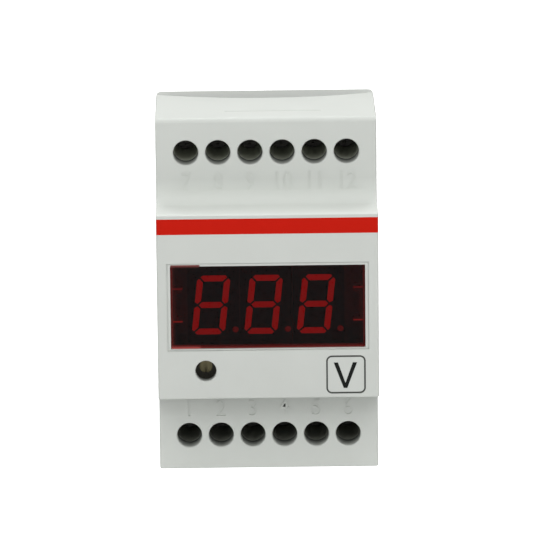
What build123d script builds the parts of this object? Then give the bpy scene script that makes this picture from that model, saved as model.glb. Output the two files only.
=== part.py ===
from build123d import *
import os
from math import radians, tan

# Three-module digital voltmeter for a 35 mm mounting rail, in millimetres.
# X points right as seen from the front, the front looks along -Y, and Z is up.
# The origin is the middle of the rail seat, and a reach is a distance in front of that seat.

os.makedirs("parts", exist_ok=True)

# Overall form of the housing
module_width = 17.5
module_count = 3
width = module_width * module_count
body_height = 86.0
nose_height = 45.0
nose_reach = 57.0
shoulder_reach = 45.0
parting_reach = 15.0
wall = 2.0
nose_wall = 2.4
shoulder_wall = 2.2
hood_edge_radius = 1.5
hood_foot_radius = 0.25
nose_edge_radius = 0.5
upright_edge_radius = 0.6
corner_radius = 1.2
hood_corner_radius = 0.4
cut_margin = 1.0
tolerance = 0.001

# Bowed wire openings between the hood and the rim of the base
wire_gap_corner = 1.2
wire_gap_middle = 6.0
rim_slope_drop = 0.35
rim_slope_run = 4.0
mark_line_length = 23.0
mark_line_width = 0.5
mark_line_depth = 0.25
mark_line_setback = 7.8
mark_line_x = 1.7

# Terminal rows
terminal_count = 6
terminal_pitch = 7.62
terminal_setback = 8.25
screw_hole_diameter = 6.0
screw_hole_chamfer = 0.2
guide_length = 2.8
guide_width = 8.4

# Window, its frame and the dark red filter
window_width = 46.0
window_height = 20.1
window_drop = 0.15
window_corner_radius = 0.5
frame_width = 47.6
frame_height = 21.2
frame_depth = 0.3
filter_clearance = 0.05
filter_thickness = 1.5
ledge_width = 0.45
filter_tab_left = 22.9
filter_tab_length = 6.8
filter_tab_rise = 0.35
filter_bevel_height = 0.75
filter_bevel_depth = 0.45
filter_edge_radius = 0.15
leg_height = 8.0
leg_depth = 2.3
leg_web = 0.9
leg_rib = 0.8
leg_length = 4.2
leg_catch = 0.6
leg_catch_run = 1.4
leg_catch_gap = 0.1

# Red stripe
stripe_height = 3.77
stripe_below_edge = 1.0
stripe_thickness = 0.2

# Display modules
digit_pitch = 12.43
digit_shift = -1.01
module_shift = 0.55
digit_width = 12.3
digit_height = 19.0
digit_depth = 8.0
digit_gap = 0.1
digit_slant = 6.3
character_height = 14.4
character_width = 7.85
bar_width = 1.45
bar_gap = 0.3
bar_corner = 0.95
bar_depth = 1.2
dot_diameter = 1.4
dot_offset = 5.74
dot_drop = 6.1
dot_clearance = 0.05
digit_pin = 0.5
digit_pin_pitch = 2.54
digit_pin_span = 15.24
digit_pin_count = 5
pin_tail = 1.2
pin_hole_clearance = 0.1

# Trimmer behind the round hole
trimmer_x = -14.86
trimmer_z = -15.6
trimmer_hole_diameter = 5.0
trimmer_hole_chamfer = 0.2
trimmer_width = 6.6
trimmer_height = 7.0
trimmer_depth = 5.8
trimmer_corner_radius = 0.5
rotor_diameter = 3.05
rotor_clearance = 0.03
rotor_length = 1.8
rotor_proud = 0.3
rotor_slot_width = 0.6
rotor_slot_depth = 0.6

# Boards and what holds them
board_thickness = 1.6
board_clearance = 0.25
post_diameter = 4.0
post_x = 20.6
post_z = 17.2
stake_diameter = 2.0
stake_clearance = 0.1
stake_tail = 0.8
main_board_reach = 9.0
board_edge_gap = 0.2
pillar_diameter = 5.0
pillar_x = 20.4
pillar_z = 24.5
board_screw_diameter = 2.2
board_screw_length = 5.0
board_screw_head_diameter = 4.4
board_screw_head_height = 1.5
board_screw_slot_width = 0.6
board_screw_slot_depth = 0.7
board_hole_clearance = 0.15

# Terminal blocks, screws, cages and contacts
block_width = 46.8
block_gap = 1.6
block_inset = 4.4
block_rear_reach = 12.9
shaft_diameter = 5.9
web_thickness = 1.2
web_hole_diameter = 3.3
screw_head_reach = 28.5
screw_head_diameter = 5.2
screw_head_height = 1.8
screw_shank_diameter = 2.9
screw_seat_gap = 0.1
screw_slot_width = 0.8
screw_slot_depth = 1.0
screw_cross_length = 3.4
thread_clearance = 0.05
tip_gap = 0.1
bar_thickness = 0.8
contact_width = 4.6
contact_end_gap = 0.1
contact_pin_inset = 1.4
contact_pin_width = 1.4
contact_pin_clearance = 0.1
cage_width = 6.4
cage_length = 6.0
cage_side = 0.7
cage_top = 1.8
cage_bottom = 0.9
cage_corner_radius = 0.6
cage_bar_gap = 0.5
wire_space = 4.4
cage_travel = 2.5
cage_end_play = 0.2
cage_clearance = 0.2
entry_width = 5.0
entry_chamfer = 0.4

# Base: rim, tray and rail seat
rim_thickness = 1.0
rim_lean = 0.6
rim_land = 0.3
rim_foot_reach = 12.6
rim_foot_inset = 1.8
back_edge_reach = 4.0
back_edge_inset = 3.4
back_reach = 2.5
back_corner_inset = 5.0
floor_reach = 4.5
seat_floor = 2.0
seat_pocket_height = 30.0
rail_height = 35.0
rail_thickness = 1.0
rail_play = 0.3
hook_overlap = 1.6
hook_tip = 3.3
hook_back = 6.0
upper_lug_height = 6.7
lug_foot_run = 4.0
lower_lug_inset = 9.0
lug_slope = 1.5
lug_core_wall = 1.6
lug_core_width = 13.4
lug_core_pitch = 15.4
lug_core_side_width = 12.6
lug_core_side_x = 17.4

# Latches that hold the cover on the base
latch_z = 24.0
latch_width = 5.5
latch_thickness = 1.15
latch_clearance = 0.1
latch_root_reach = 10.0
latch_tip_reach = 22.4
latch_catch_reach = 19.6
latch_catch_run = 1.8
latch_catch_height = 1.2
latch_window_play = 0.3

# Rail clip and its spring
clip_front = 1.2
clip_thickness = 3.0
clip_neck_width = 11.8
clip_flange_width = 17.0
clip_flange_thickness = 1.3
clip_clearance = 0.2
clip_lift = 0.6
clip_nose_slope = 1.6
clip_travel = 4.0
clip_window_width = 4.4
clip_rib_inset = 1.6
clip_rib_thickness = 1.0
clip_rib_width = 3.8
clip_rib_play = 0.3
clip_pull_width = 6.0
clip_pull_height = 1.6
clip_pull_lift = 3.2
spring_diameter = 2.8
spring_wire = 0.4
spring_turns = 6
spring_gap = 0.1
spring_spare = 0.6

# Transformer and the small parts on the boards
core_width = 30.0
core_front_gap = 7.3
core_stack = 12.5
core_leg = 10.0
core_window = 5.0
core_reach = 10.5
coil_clearance = 0.25
bobbin_wall = 0.8
bobbin_flange = 1.0
bobbin_height = 23.0
winding_height = 21.0
winding_width = 18.4
bobbin_pin = 0.8
bobbin_pin_x = 7.6
bobbin_pin_z = 9.8
can_diameter = 8.0
can_length = 12.0
small_can_diameter = 6.3
small_can_length = 11.0
can_x = 18.8
can_z = 15.6
can_edge_radius = 0.6
can_groove_depth = 0.35
can_groove_height = 2.0
rectifier_width = 8.4
rectifier_height = 6.4
rectifier_depth = 3.2
rectifier_x = 18.6
rectifier_z = -15.0
rectifier_lift = 0.6
lead_thickness = 0.5
lead_pitch = 5.08
chip_width = 10.0
chip_thickness = 2.0
chip_lift = 0.1
chip_x = 9.0
chip_z = 0.0
chip_lead_width = 0.35
chip_lead_pitch = 0.8
chip_lead_count = 11
chip_lead_reach = 1.0
chip_lead_thickness = 0.2
comb_pin = 0.64
comb_pitch = 2.54
comb_count = 10
comb_z = -18.0
comb_strip_height = 2.4
comb_strip_thickness = 2.5

# Sizes that follow from the ones above
rows = (("upper", 1, terminal_count + 1), ("lower", -1, 1))
terminal_places = [(i - (terminal_count - 1) / 2) * terminal_pitch for i in range(terminal_count)]
hood_inner_z = body_height / 2 - wall
terminal_height = body_height / 2 - terminal_setback
block_inner_z = terminal_height - block_inset
block_outer_z = hood_inner_z - block_gap
contact_pin_z = block_inner_z - contact_pin_inset
rim_foot_z = body_height / 2 - rim_foot_inset
back_edge_z = body_height / 2 - back_edge_inset
back_corner_z = body_height / 2 - back_corner_inset
main_board_height = 2 * (back_edge_z - wall - board_edge_gap)
guide_rear_reach = shoulder_reach - shoulder_wall - guide_length
nose_inner_reach = nose_reach - nose_wall
filter_front_reach = nose_reach - frame_depth
filter_rear_reach = filter_front_reach - filter_thickness
window_top = window_height / 2 - window_drop
window_bottom = -window_height / 2 - window_drop
display_reach = nose_inner_reach - digit_gap
display_board_reach = display_reach - digit_depth
display_board_rear = display_board_reach - board_thickness
main_board_rear = main_board_reach - board_thickness
core_depth = display_board_rear - chip_lift - chip_thickness - core_front_gap - core_reach
screw_seat_reach = screw_head_reach - screw_head_height
web_front_reach = screw_seat_reach - screw_seat_gap
web_rear_reach = web_front_reach - web_thickness
cage_front_reach = web_rear_reach - cage_travel - cage_end_play
cage_inner_reach = cage_front_reach - cage_top
contact_reach = cage_inner_reach - cage_bar_gap
screw_shank_length = screw_seat_reach - contact_reach - tip_gap
wire_front_reach = contact_reach - bar_thickness
wire_rear_reach = wire_front_reach - wire_space
cage_rear_reach = wire_rear_reach - cage_bottom
pocket_width = cage_width + 2 * cage_clearance
pocket_height = cage_length + 2 * cage_clearance
contact_outer_z = terminal_height + pocket_height / 2 - contact_end_gap
half_rail = rail_height / 2 + rail_play
hook_tip_z = rail_height / 2 - hook_overlap
upper_lug_z = half_rail + upper_lug_height
upper_lug_foot_z = upper_lug_z + lug_foot_run
lower_lug_z = back_corner_z - lower_lug_inset
lower_lug_foot_z = lower_lug_z + lug_foot_run
clip_rib_z = lower_lug_z - clip_rib_inset
clip_bottom_z = body_height / 2 - clip_lift
clip_pull_z = clip_bottom_z - clip_pull_lift
bow_depth = wire_gap_middle - wire_gap_corner
bow_radius = ((width / 2) ** 2 + bow_depth**2) / (2 * bow_depth)
clip_window_top = clip_rib_z - clip_travel - (spring_turns + 1) * spring_wire - spring_spare
digit_pin_hole = digit_pin + 2 * pin_hole_clearance
comb_hole = comb_pin + 2 * pin_hole_clearance
bobbin_pin_hole = bobbin_pin + 2 * pin_hole_clearance
digits = (("left", -1), ("middle", 0), ("right", 1))


def front_plane(reach):
    """A plane square to the depth, seen from the front, a reach in front of the rail seat."""
    return Plane.XZ.offset(reach)


def save(piece, name):
    """Label a finished piece and write its file."""
    piece.label = name
    export_step(piece, f"parts/{name}.step")


def front_rims(builder, diameter):
    """The round edges of one diameter that lie furthest forward."""
    circles = builder.edges().filter_by(GeomType.CIRCLE)
    return circles.filter_by(lambda edge: abs(2 * edge.radius - diameter) < tolerance).group_by(Axis.Y)[0]


def upright_bar(side_x, side_z):
    """Outline of one upright light bar, on the side and in the half that the two signs give."""
    half_width = character_width / 2
    half_height = character_height / 2
    inner = half_width - bar_width
    outline = [
        (half_width, half_height - bar_corner - bar_gap),
        (half_width - bar_corner / 2, half_height - bar_corner / 2 - bar_gap),
        (inner, half_height - bar_width - bar_gap),
        (inner, bar_width / 2 + bar_gap),
        (half_width - bar_width / 2, bar_gap),
        (half_width, bar_width / 2),
    ]
    return [(side_x * x, side_z * z) for x, z in outline]


def level_bar(side_z):
    """Outline of the top or bottom light bar."""
    half_width = character_width / 2
    half_height = character_height / 2
    half = [
        (half_width - bar_corner - bar_gap, half_height),
        (half_width - bar_corner / 2 - bar_gap, half_height - bar_corner / 2),
        (half_width - bar_width - bar_gap, half_height - bar_width),
    ]
    outline = half + [(-x, z) for x, z in reversed(half)]
    return [(x, side_z * z) for x, z in outline]


def middle_bar():
    """Outline of the middle light bar, pointed at both ends."""
    tip = character_width / 2 - bar_width / 2 - bar_gap
    shoulder = character_width / 2 - bar_width - bar_gap
    half = [(-shoulder, bar_width / 2), (shoulder, bar_width / 2), (tip, 0)]
    return half + [(-x, -z) for x, z in half]


def draw_bars(centre):
    """Draw the seven slanted light bars of one character in the sketch that is open."""
    lean = tan(radians(digit_slant))
    bars = [level_bar(1), middle_bar(), level_bar(-1)]
    bars += [upright_bar(side_x, side_z) for side_x in (1, -1) for side_z in (1, -1)]
    for bar in bars:
        Polygon(*[(centre + x + z * lean, z) for x, z in bar], align=None)


# Outer form of the hood and nose, before it is hollowed
with BuildPart() as cover_form:
    hood_depth = shoulder_reach - parting_reach
    hood_middle = -parting_reach - hood_depth / 2
    with BuildSketch(Plane.YZ) as hood_outline:
        with Locations((hood_middle, 0)):
            Rectangle(hood_depth, body_height)
        lower_front, upper_front = hood_outline.vertices().group_by(Axis.X)[0].sort_by(Axis.Y)
        fillet(upper_front, radius=hood_edge_radius)
        fillet(lower_front, radius=hood_foot_radius)
    extrude(amount=width / 2, both=True)
    with BuildSketch(Plane.XY) as hood_plan:
        with Locations((0, hood_middle)):
            Rectangle(width, hood_depth)
        fillet(hood_plan.vertices().group_by(Axis.Y)[0], radius=upright_edge_radius)
    extrude(amount=body_height / 2, both=True, mode=Mode.INTERSECT)
    with BuildSketch(front_plane(parting_reach)):
        RectangleRounded(width, body_height, hood_corner_radius)
    extrude(amount=hood_depth, mode=Mode.INTERSECT)
    with BuildSketch(front_plane(shoulder_reach - shoulder_wall)):
        Rectangle(width, nose_height)
    extrude(amount=nose_reach - shoulder_reach + shoulder_wall)
    nose_face = cover_form.faces().sort_by(Axis.Y)[0]
    fillet(nose_face.edges(), radius=nose_edge_radius)

# Thin red foil let into the nose, following its rounded ends
with BuildPart() as red_stripe:
    add(cover_form.part)
    with BuildSketch(front_plane(nose_reach)):
        with Locations((0, (nose_height - stripe_height) / 2 - stripe_below_edge)):
            Rectangle(width, stripe_height)
    extrude(amount=-stripe_thickness, mode=Mode.INTERSECT)
save(red_stripe.part, "red_stripe")

# Front cover: the hollow hood and nose in one moulding
with BuildPart() as front_cover:
    add(cover_form.part)
    with BuildSketch(front_plane(parting_reach)):
        Rectangle(width - 2 * wall, body_height - 2 * wall)
    extrude(amount=shoulder_reach - shoulder_wall - parting_reach, mode=Mode.SUBTRACT)
    with BuildSketch(front_plane(parting_reach)):
        Rectangle(width - 2 * wall, nose_height - 2 * wall)
    extrude(amount=nose_inner_reach - parting_reach, mode=Mode.SUBTRACT)
    add(red_stripe.part, mode=Mode.SUBTRACT)

    # Guide bars behind the shoulder, then the screwdriver holes through both
    with BuildSketch(front_plane(guide_rear_reach)):
        with Locations((0, terminal_height), (0, -terminal_height)):
            SlotCenterToCenter((terminal_count - 1) * terminal_pitch, guide_width)
    extrude(amount=guide_length)
    with BuildSketch(front_plane(shoulder_reach)):
        with Locations((0, terminal_height), (0, -terminal_height)):
            with GridLocations(terminal_pitch, 0, terminal_count, 1):
                Circle(screw_hole_diameter / 2)
    extrude(amount=-(shoulder_reach - guide_rear_reach), mode=Mode.SUBTRACT)
    chamfer(front_rims(front_cover, screw_hole_diameter), length=screw_hole_chamfer)

    # Window with its shallow frame and the ledge that the filter sits on
    with BuildSketch(front_plane(nose_reach)):
        Rectangle(frame_width, frame_height)
    extrude(amount=-frame_depth, mode=Mode.SUBTRACT)
    with BuildSketch(front_plane(filter_front_reach)):
        with Locations((0, -window_drop)):
            Rectangle(window_width + 2 * filter_clearance, window_height + 2 * filter_clearance)
        with Locations((-filter_tab_left - filter_clearance, window_top)):
            Rectangle(
                filter_tab_length + 2 * filter_clearance,
                filter_tab_rise + filter_clearance,
                align=(Align.MIN, Align.MIN),
            )
    extrude(amount=-filter_thickness, mode=Mode.SUBTRACT)
    with BuildSketch(front_plane(filter_rear_reach)):
        with Locations((0, -window_drop)):
            Rectangle(window_width - 2 * ledge_width, window_height - 2 * ledge_width)
    extrude(amount=-(filter_rear_reach - nose_inner_reach), mode=Mode.SUBTRACT)

    # Hole in front of the trimmer
    with BuildSketch(front_plane(nose_reach)):
        with Locations((trimmer_x, trimmer_z)):
            Circle(trimmer_hole_diameter / 2)
    extrude(amount=-nose_wall, mode=Mode.SUBTRACT)
    chamfer(front_rims(front_cover, trimmer_hole_diameter), length=trimmer_hole_chamfer)

    # Posts for the display board, each with a staked tip
    with BuildSketch(front_plane(display_board_reach)):
        with GridLocations(2 * post_x, 2 * post_z, 2, 2):
            Circle(post_diameter / 2)
    extrude(amount=nose_inner_reach - display_board_reach)
    with BuildSketch(front_plane(display_board_rear - stake_tail)):
        with GridLocations(2 * post_x, 2 * post_z, 2, 2):
            Circle(stake_diameter / 2)
    extrude(amount=board_thickness + stake_tail)

    # Bowed wire openings in the top and bottom walls, with a gently falling edge in front
    bow_axis = Axis((0, bow_radius - parting_reach - wire_gap_middle, 0), (0, 0, 1))
    for side in (1, -1):
        with BuildSketch(Plane.XY.offset(side * hood_inner_z)):
            with Locations(bow_axis.position):
                Circle(bow_radius)
            with Locations((0, -parting_reach - wire_gap_middle)):
                Rectangle(
                    width + cut_margin,
                    wire_gap_middle + cut_margin,
                    align=(Align.CENTER, Align.MIN),
                    mode=Mode.INTERSECT,
                )
        extrude(amount=side * (wall + cut_margin), mode=Mode.SUBTRACT)
        with BuildSketch(Plane.YZ):
            bow_y = -parting_reach - wire_gap_middle
            Polygon(
                (bow_y, side * (body_height / 2 - rim_slope_drop)),
                (bow_y - rim_slope_run, side * body_height / 2),
                (bow_y - rim_slope_run, side * (body_height / 2 + cut_margin)),
                (bow_y, side * (body_height / 2 + cut_margin)),
                align=None,
            )
        revolve(axis=bow_axis, mode=Mode.SUBTRACT)

    # Fine line across the middle of the top face
    with BuildSketch(Plane.XY.offset(body_height / 2)):
        with Locations((mark_line_x, -shoulder_reach + mark_line_setback)):
            Rectangle(mark_line_length, mark_line_width)
    extrude(amount=-mark_line_depth, mode=Mode.SUBTRACT)

    # Windows in the sides for the catches of the base
    with BuildSketch(Plane.YZ):
        with Locations(
            (-latch_catch_reach - latch_catch_run / 2, latch_z),
            (-latch_catch_reach - latch_catch_run / 2, -latch_z),
        ):
            Rectangle(latch_catch_run + 2 * latch_window_play, latch_width + 2 * latch_window_play)
    extrude(amount=width / 2, both=True, mode=Mode.SUBTRACT)
save(front_cover.part, "front_cover")

# Dark red window plate with a channel-shaped snap leg at each end
with BuildPart() as display_filter:
    with BuildSketch(front_plane(filter_rear_reach)):
        with Locations((0, -window_drop)):
            RectangleRounded(window_width, window_height, window_corner_radius)
        with Locations((-filter_tab_left, window_top - window_corner_radius)):
            Rectangle(
                filter_tab_length,
                filter_tab_rise + window_corner_radius,
                align=(Align.MIN, Align.MIN),
            )
    extrude(amount=filter_thickness)
    fillet(display_filter.faces().sort_by(Axis.Y)[0].edges(), radius=filter_edge_radius)
    with BuildSketch(Plane.YZ):
        Polygon(
            (-filter_front_reach, window_bottom + filter_bevel_height),
            (-filter_front_reach + filter_bevel_depth, window_bottom),
            (-filter_front_reach - cut_margin, window_bottom),
            (-filter_front_reach - cut_margin, window_bottom + filter_bevel_height),
            align=None,
        )
    extrude(amount=width / 2, both=True, mode=Mode.SUBTRACT)
    leg_outer_x = window_width / 2 - ledge_width - filter_clearance
    for side in (1, -1):
        with BuildSketch(front_plane(filter_rear_reach)):
            with Locations((side * (leg_outer_x - leg_web / 2), 0)):
                Rectangle(leg_web, leg_height)
            with Locations((side * (leg_outer_x - leg_depth / 2), 0)):
                with GridLocations(0, leg_height - leg_rib, 1, 2):
                    Rectangle(leg_depth, leg_rib)
        extrude(amount=-leg_length)
        with BuildSketch(Plane.XY):
            with BuildLine():
                catch_front = -nose_inner_reach + leg_catch_gap
                Polyline(
                    (side * (leg_outer_x - leg_web / 2), catch_front),
                    (side * (leg_outer_x + leg_catch), catch_front),
                    (side * leg_outer_x, catch_front + leg_catch_run),
                    (side * (leg_outer_x - leg_web / 2), catch_front + leg_catch_run),
                    close=True,
                )
            make_face()
        extrude(amount=leg_height / 2, both=True)
save(display_filter.part, "display_filter")

# Display modules, and the light bars set into their faces
for name, step in digits:
    digit_x = digit_shift + step * digit_pitch
    with BuildPart() as module:
        with BuildSketch(front_plane(display_board_reach)):
            with Locations((digit_x + module_shift, 0)):
                Rectangle(digit_width, digit_height)
        extrude(amount=digit_depth)
        with BuildSketch(front_plane(display_reach)):
            draw_bars(digit_x)
            with Locations((digit_x + dot_offset, -dot_drop)):
                Circle(dot_diameter / 2 + dot_clearance)
        extrude(amount=-bar_depth, mode=Mode.SUBTRACT)
        with BuildSketch(front_plane(display_board_rear - pin_tail)):
            with Locations((digit_x + module_shift, 0)):
                with GridLocations(digit_pin_pitch, digit_pin_span, digit_pin_count, 2):
                    Rectangle(digit_pin, digit_pin)
        extrude(amount=board_thickness + pin_tail)
    save(module.part, f"digit_{name}")

    with BuildPart() as segments:
        with BuildSketch(front_plane(display_reach)):
            draw_bars(digit_x)
            with Locations((digit_x + dot_offset, -dot_drop)):
                Circle(dot_diameter / 2)
        extrude(amount=-bar_depth)
    save(segments.part, f"segments_{name}")

# Trimmer body on the display board, with a bore for its rotor
trimmer_front_reach = display_board_reach + trimmer_depth
with BuildPart() as trimmer_body:
    with BuildSketch(front_plane(display_board_reach)):
        with Locations((trimmer_x, trimmer_z)):
            RectangleRounded(trimmer_width, trimmer_height, trimmer_corner_radius)
    extrude(amount=trimmer_depth)
    with BuildSketch(front_plane(trimmer_front_reach)):
        with Locations((trimmer_x, trimmer_z)):
            Circle(rotor_diameter / 2 + rotor_clearance)
    extrude(amount=-(rotor_length - rotor_proud), mode=Mode.SUBTRACT)
save(trimmer_body.part, "trimmer_body")

# Brass rotor with a screwdriver slot
with BuildPart() as trimmer_rotor:
    with BuildSketch(front_plane(trimmer_front_reach + rotor_proud)):
        with Locations((trimmer_x, trimmer_z)):
            Circle(rotor_diameter / 2)
    extrude(amount=-rotor_length)
    with BuildSketch(front_plane(trimmer_front_reach + rotor_proud)):
        with Locations((trimmer_x, trimmer_z)):
            Rectangle(rotor_slot_width, rotor_diameter + cut_margin)
    extrude(amount=-rotor_slot_depth, mode=Mode.SUBTRACT)
save(trimmer_rotor.part, "trimmer_rotor")

# Display board, with holes for the stakes, the digits' pins and the comb
with BuildPart() as display_board:
    with BuildSketch(front_plane(display_board_rear)):
        Rectangle(width - 2 * (wall + board_clearance), nose_height - 2 * (wall + board_clearance))
        with GridLocations(2 * post_x, 2 * post_z, 2, 2):
            Circle(stake_diameter / 2 + stake_clearance, mode=Mode.SUBTRACT)
        for name, step in digits:
            with Locations((digit_shift + module_shift + step * digit_pitch, 0)):
                with GridLocations(digit_pin_pitch, digit_pin_span, digit_pin_count, 2):
                    Rectangle(digit_pin_hole, digit_pin_hole, mode=Mode.SUBTRACT)
        with Locations((0, comb_z)):
            with GridLocations(comb_pitch, 0, comb_count, 1):
                Rectangle(comb_hole, comb_hole, mode=Mode.SUBTRACT)
    extrude(amount=board_thickness)
save(display_board.part, "display_board")

# Main board across the tray of the base
with BuildPart() as main_board:
    with BuildSketch(front_plane(main_board_rear)):
        Rectangle(width - 2 * (wall + board_clearance), main_board_height)
        with GridLocations(2 * pillar_x, 2 * pillar_z, 2, 2):
            Circle(board_screw_diameter / 2 + board_hole_clearance, mode=Mode.SUBTRACT)
        with Locations((0, contact_pin_z), (0, -contact_pin_z)):
            with GridLocations(terminal_pitch, 0, terminal_count, 1):
                Rectangle(
                    contact_pin_width + 2 * contact_pin_clearance,
                    bar_thickness + 2 * contact_pin_clearance,
                    mode=Mode.SUBTRACT,
                )
        with Locations((0, comb_z)):
            with GridLocations(comb_pitch, 0, comb_count, 1):
                Rectangle(comb_hole, comb_hole, mode=Mode.SUBTRACT)
        with GridLocations(2 * bobbin_pin_x, 2 * bobbin_pin_z, 2, 2):
            Rectangle(bobbin_pin_hole, bobbin_pin_hole, mode=Mode.SUBTRACT)
    extrude(amount=board_thickness)
save(main_board.part, "main_board")

# Slotted screws that hold the main board on the pillars of the base
with BuildPart() as board_screws:
    with BuildSketch(front_plane(main_board_reach)):
        with GridLocations(2 * pillar_x, 2 * pillar_z, 2, 2):
            Circle(board_screw_head_diameter / 2)
    extrude(amount=board_screw_head_height)
    with BuildSketch(front_plane(main_board_reach)):
        with GridLocations(2 * pillar_x, 2 * pillar_z, 2, 2):
            Circle(board_screw_diameter / 2)
    extrude(amount=-board_screw_length)
    with BuildSketch(front_plane(main_board_reach + board_screw_head_height)):
        with GridLocations(2 * pillar_x, 2 * pillar_z, 2, 2):
            Rectangle(board_screw_head_diameter, board_screw_slot_width)
    extrude(amount=-board_screw_slot_depth, mode=Mode.SUBTRACT)
save(board_screws.part, "board_screws")

# Base: side outline with the rim, the sloping back, the rail seat and the fixed hook
with BuildPart() as base_housing:
    with BuildSketch(Plane.YZ):
        with BuildLine():
            Polyline(
                (-parting_reach, hood_inner_z + rim_land),
                (-parting_reach + rim_lean, body_height / 2),
                (-parting_reach + rim_thickness, body_height / 2),
                (-rim_foot_reach, rim_foot_z),
                (-back_edge_reach, back_edge_z),
                (-back_reach, back_corner_z),
                (-back_reach, upper_lug_foot_z),
                (hook_back - lug_slope, upper_lug_z + lug_slope),
                (hook_back, upper_lug_z),
                (hook_back, half_rail + lug_slope),
                (rail_thickness + rail_play + hook_tip, hook_tip_z),
                (rail_thickness + rail_play, hook_tip_z),
                (rail_thickness + rail_play, half_rail),
                (0, half_rail),
                (0, -half_rail),
                (hook_back, -half_rail),
                (hook_back, -lower_lug_z),
                (hook_back - lug_slope, -lower_lug_z - lug_slope),
                (-back_reach, -lower_lug_foot_z),
                (-back_reach, -back_corner_z),
                (-back_edge_reach, -back_edge_z),
                (-rim_foot_reach, -rim_foot_z),
                (-parting_reach + rim_thickness, -body_height / 2),
                (-parting_reach + rim_lean, -body_height / 2),
                (-parting_reach, -hood_inner_z - rim_land),
                close=True,
            )
        make_face()
    extrude(amount=width / 2, both=True)
    with BuildSketch(front_plane(parting_reach)):
        RectangleRounded(width, body_height, corner_radius)
    extrude(amount=-(parting_reach + hook_back), mode=Mode.INTERSECT)

    # Tray that follows the outside, with a deeper pocket behind the rail seat
    with BuildSketch(Plane.YZ):
        with BuildLine():
            Polyline(
                (-parting_reach, hood_inner_z),
                (-rim_foot_reach, rim_foot_z - wall),
                (-floor_reach, back_edge_z - wall),
                (-floor_reach, -back_edge_z + wall),
                (-rim_foot_reach, -rim_foot_z + wall),
                (-parting_reach, -hood_inner_z),
                close=True,
            )
        make_face()
    extrude(amount=width / 2 - wall, both=True, mode=Mode.SUBTRACT)
    with BuildSketch(front_plane(floor_reach)):
        Rectangle(width - 2 * wall, seat_pocket_height)
    extrude(amount=-(floor_reach - seat_floor), mode=Mode.SUBTRACT)

    # The lugs above and below the seat are cored out from the inside
    upper_core_low = half_rail + lug_core_wall
    upper_core_high = upper_lug_z - lug_slope
    with BuildSketch(front_plane(floor_reach)):
        with Locations((0, (upper_core_low + upper_core_high) / 2)):
            with GridLocations(lug_core_pitch, 0, module_count, 1):
                Rectangle(lug_core_width, upper_core_high - upper_core_low)
        with Locations((0, -(half_rail + lug_core_wall + lower_lug_z - lug_slope) / 2)):
            with GridLocations(2 * lug_core_side_x, 0, 2, 1):
                Rectangle(lug_core_side_width, lower_lug_z - lug_slope - half_rail - lug_core_wall)
    extrude(amount=-(floor_reach + hook_back - lug_core_wall), mode=Mode.SUBTRACT)

    # Guide for the rail clip, with the rib that its spring pushes on
    clip_slot_bottom = lower_lug_foot_z + cut_margin
    with BuildSketch(Plane.XY.offset(-half_rail)):
        with Locations((0, clip_front - clip_clearance)):
            Rectangle(
                clip_flange_width + 2 * clip_clearance,
                clip_flange_thickness + 2 * clip_clearance,
                align=(Align.CENTER, Align.MIN),
            )
            Rectangle(
                clip_neck_width + 2 * clip_clearance,
                hook_back + cut_margin,
                align=(Align.CENTER, Align.MIN),
            )
    extrude(amount=-(clip_slot_bottom - half_rail), mode=Mode.SUBTRACT)
    with BuildSketch(Plane.XY.offset(-clip_rib_z)):
        with Locations((0, clip_front - clip_clearance)):
            Rectangle(
                clip_rib_width,
                clip_thickness,
                align=(Align.CENTER, Align.MIN),
            )
    extrude(amount=-clip_rib_thickness)

    # Pillars for the main board
    for side, foot_reach in ((1, floor_reach), (-1, lug_core_wall - hook_back)):
        with BuildSketch(front_plane(foot_reach)):
            with Locations((pillar_x, side * pillar_z), (-pillar_x, side * pillar_z)):
                Circle(pillar_diameter / 2)
        extrude(amount=main_board_rear - foot_reach)
    with BuildSketch(front_plane(main_board_rear)):
        with GridLocations(2 * pillar_x, 2 * pillar_z, 2, 2):
            Circle(board_screw_diameter / 2)
    extrude(amount=-(board_screw_length - board_thickness), mode=Mode.SUBTRACT)

    # Spring latches that reach into the cover, with a catch for each of its side windows
    for side in (1, -1):
        wall_x = width / 2 - wall
        tongue_x = wall_x - latch_clearance
        with BuildSketch(Plane.XY.offset(latch_z)) as latch_outline:
            with BuildLine():
                Polyline(
                    (side * wall_x, -latch_root_reach),
                    (side * wall_x, -parting_reach),
                    (side * tongue_x, -parting_reach),
                    (side * tongue_x, -latch_catch_reach),
                    (side * (tongue_x + latch_catch_height), -latch_catch_reach),
                    (side * tongue_x, -latch_catch_reach - latch_catch_run),
                    (side * tongue_x, -latch_tip_reach),
                    (side * (tongue_x - latch_thickness), -latch_tip_reach),
                    (side * (tongue_x - latch_thickness), -latch_root_reach),
                    close=True,
                )
            make_face()
        extrude(amount=latch_width / 2, both=True)
        with BuildSketch(Plane.XY.offset(-latch_z)):
            add(latch_outline.sketch_local)
        extrude(amount=latch_width / 2, both=True)
save(base_housing.part, "base_housing")

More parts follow.
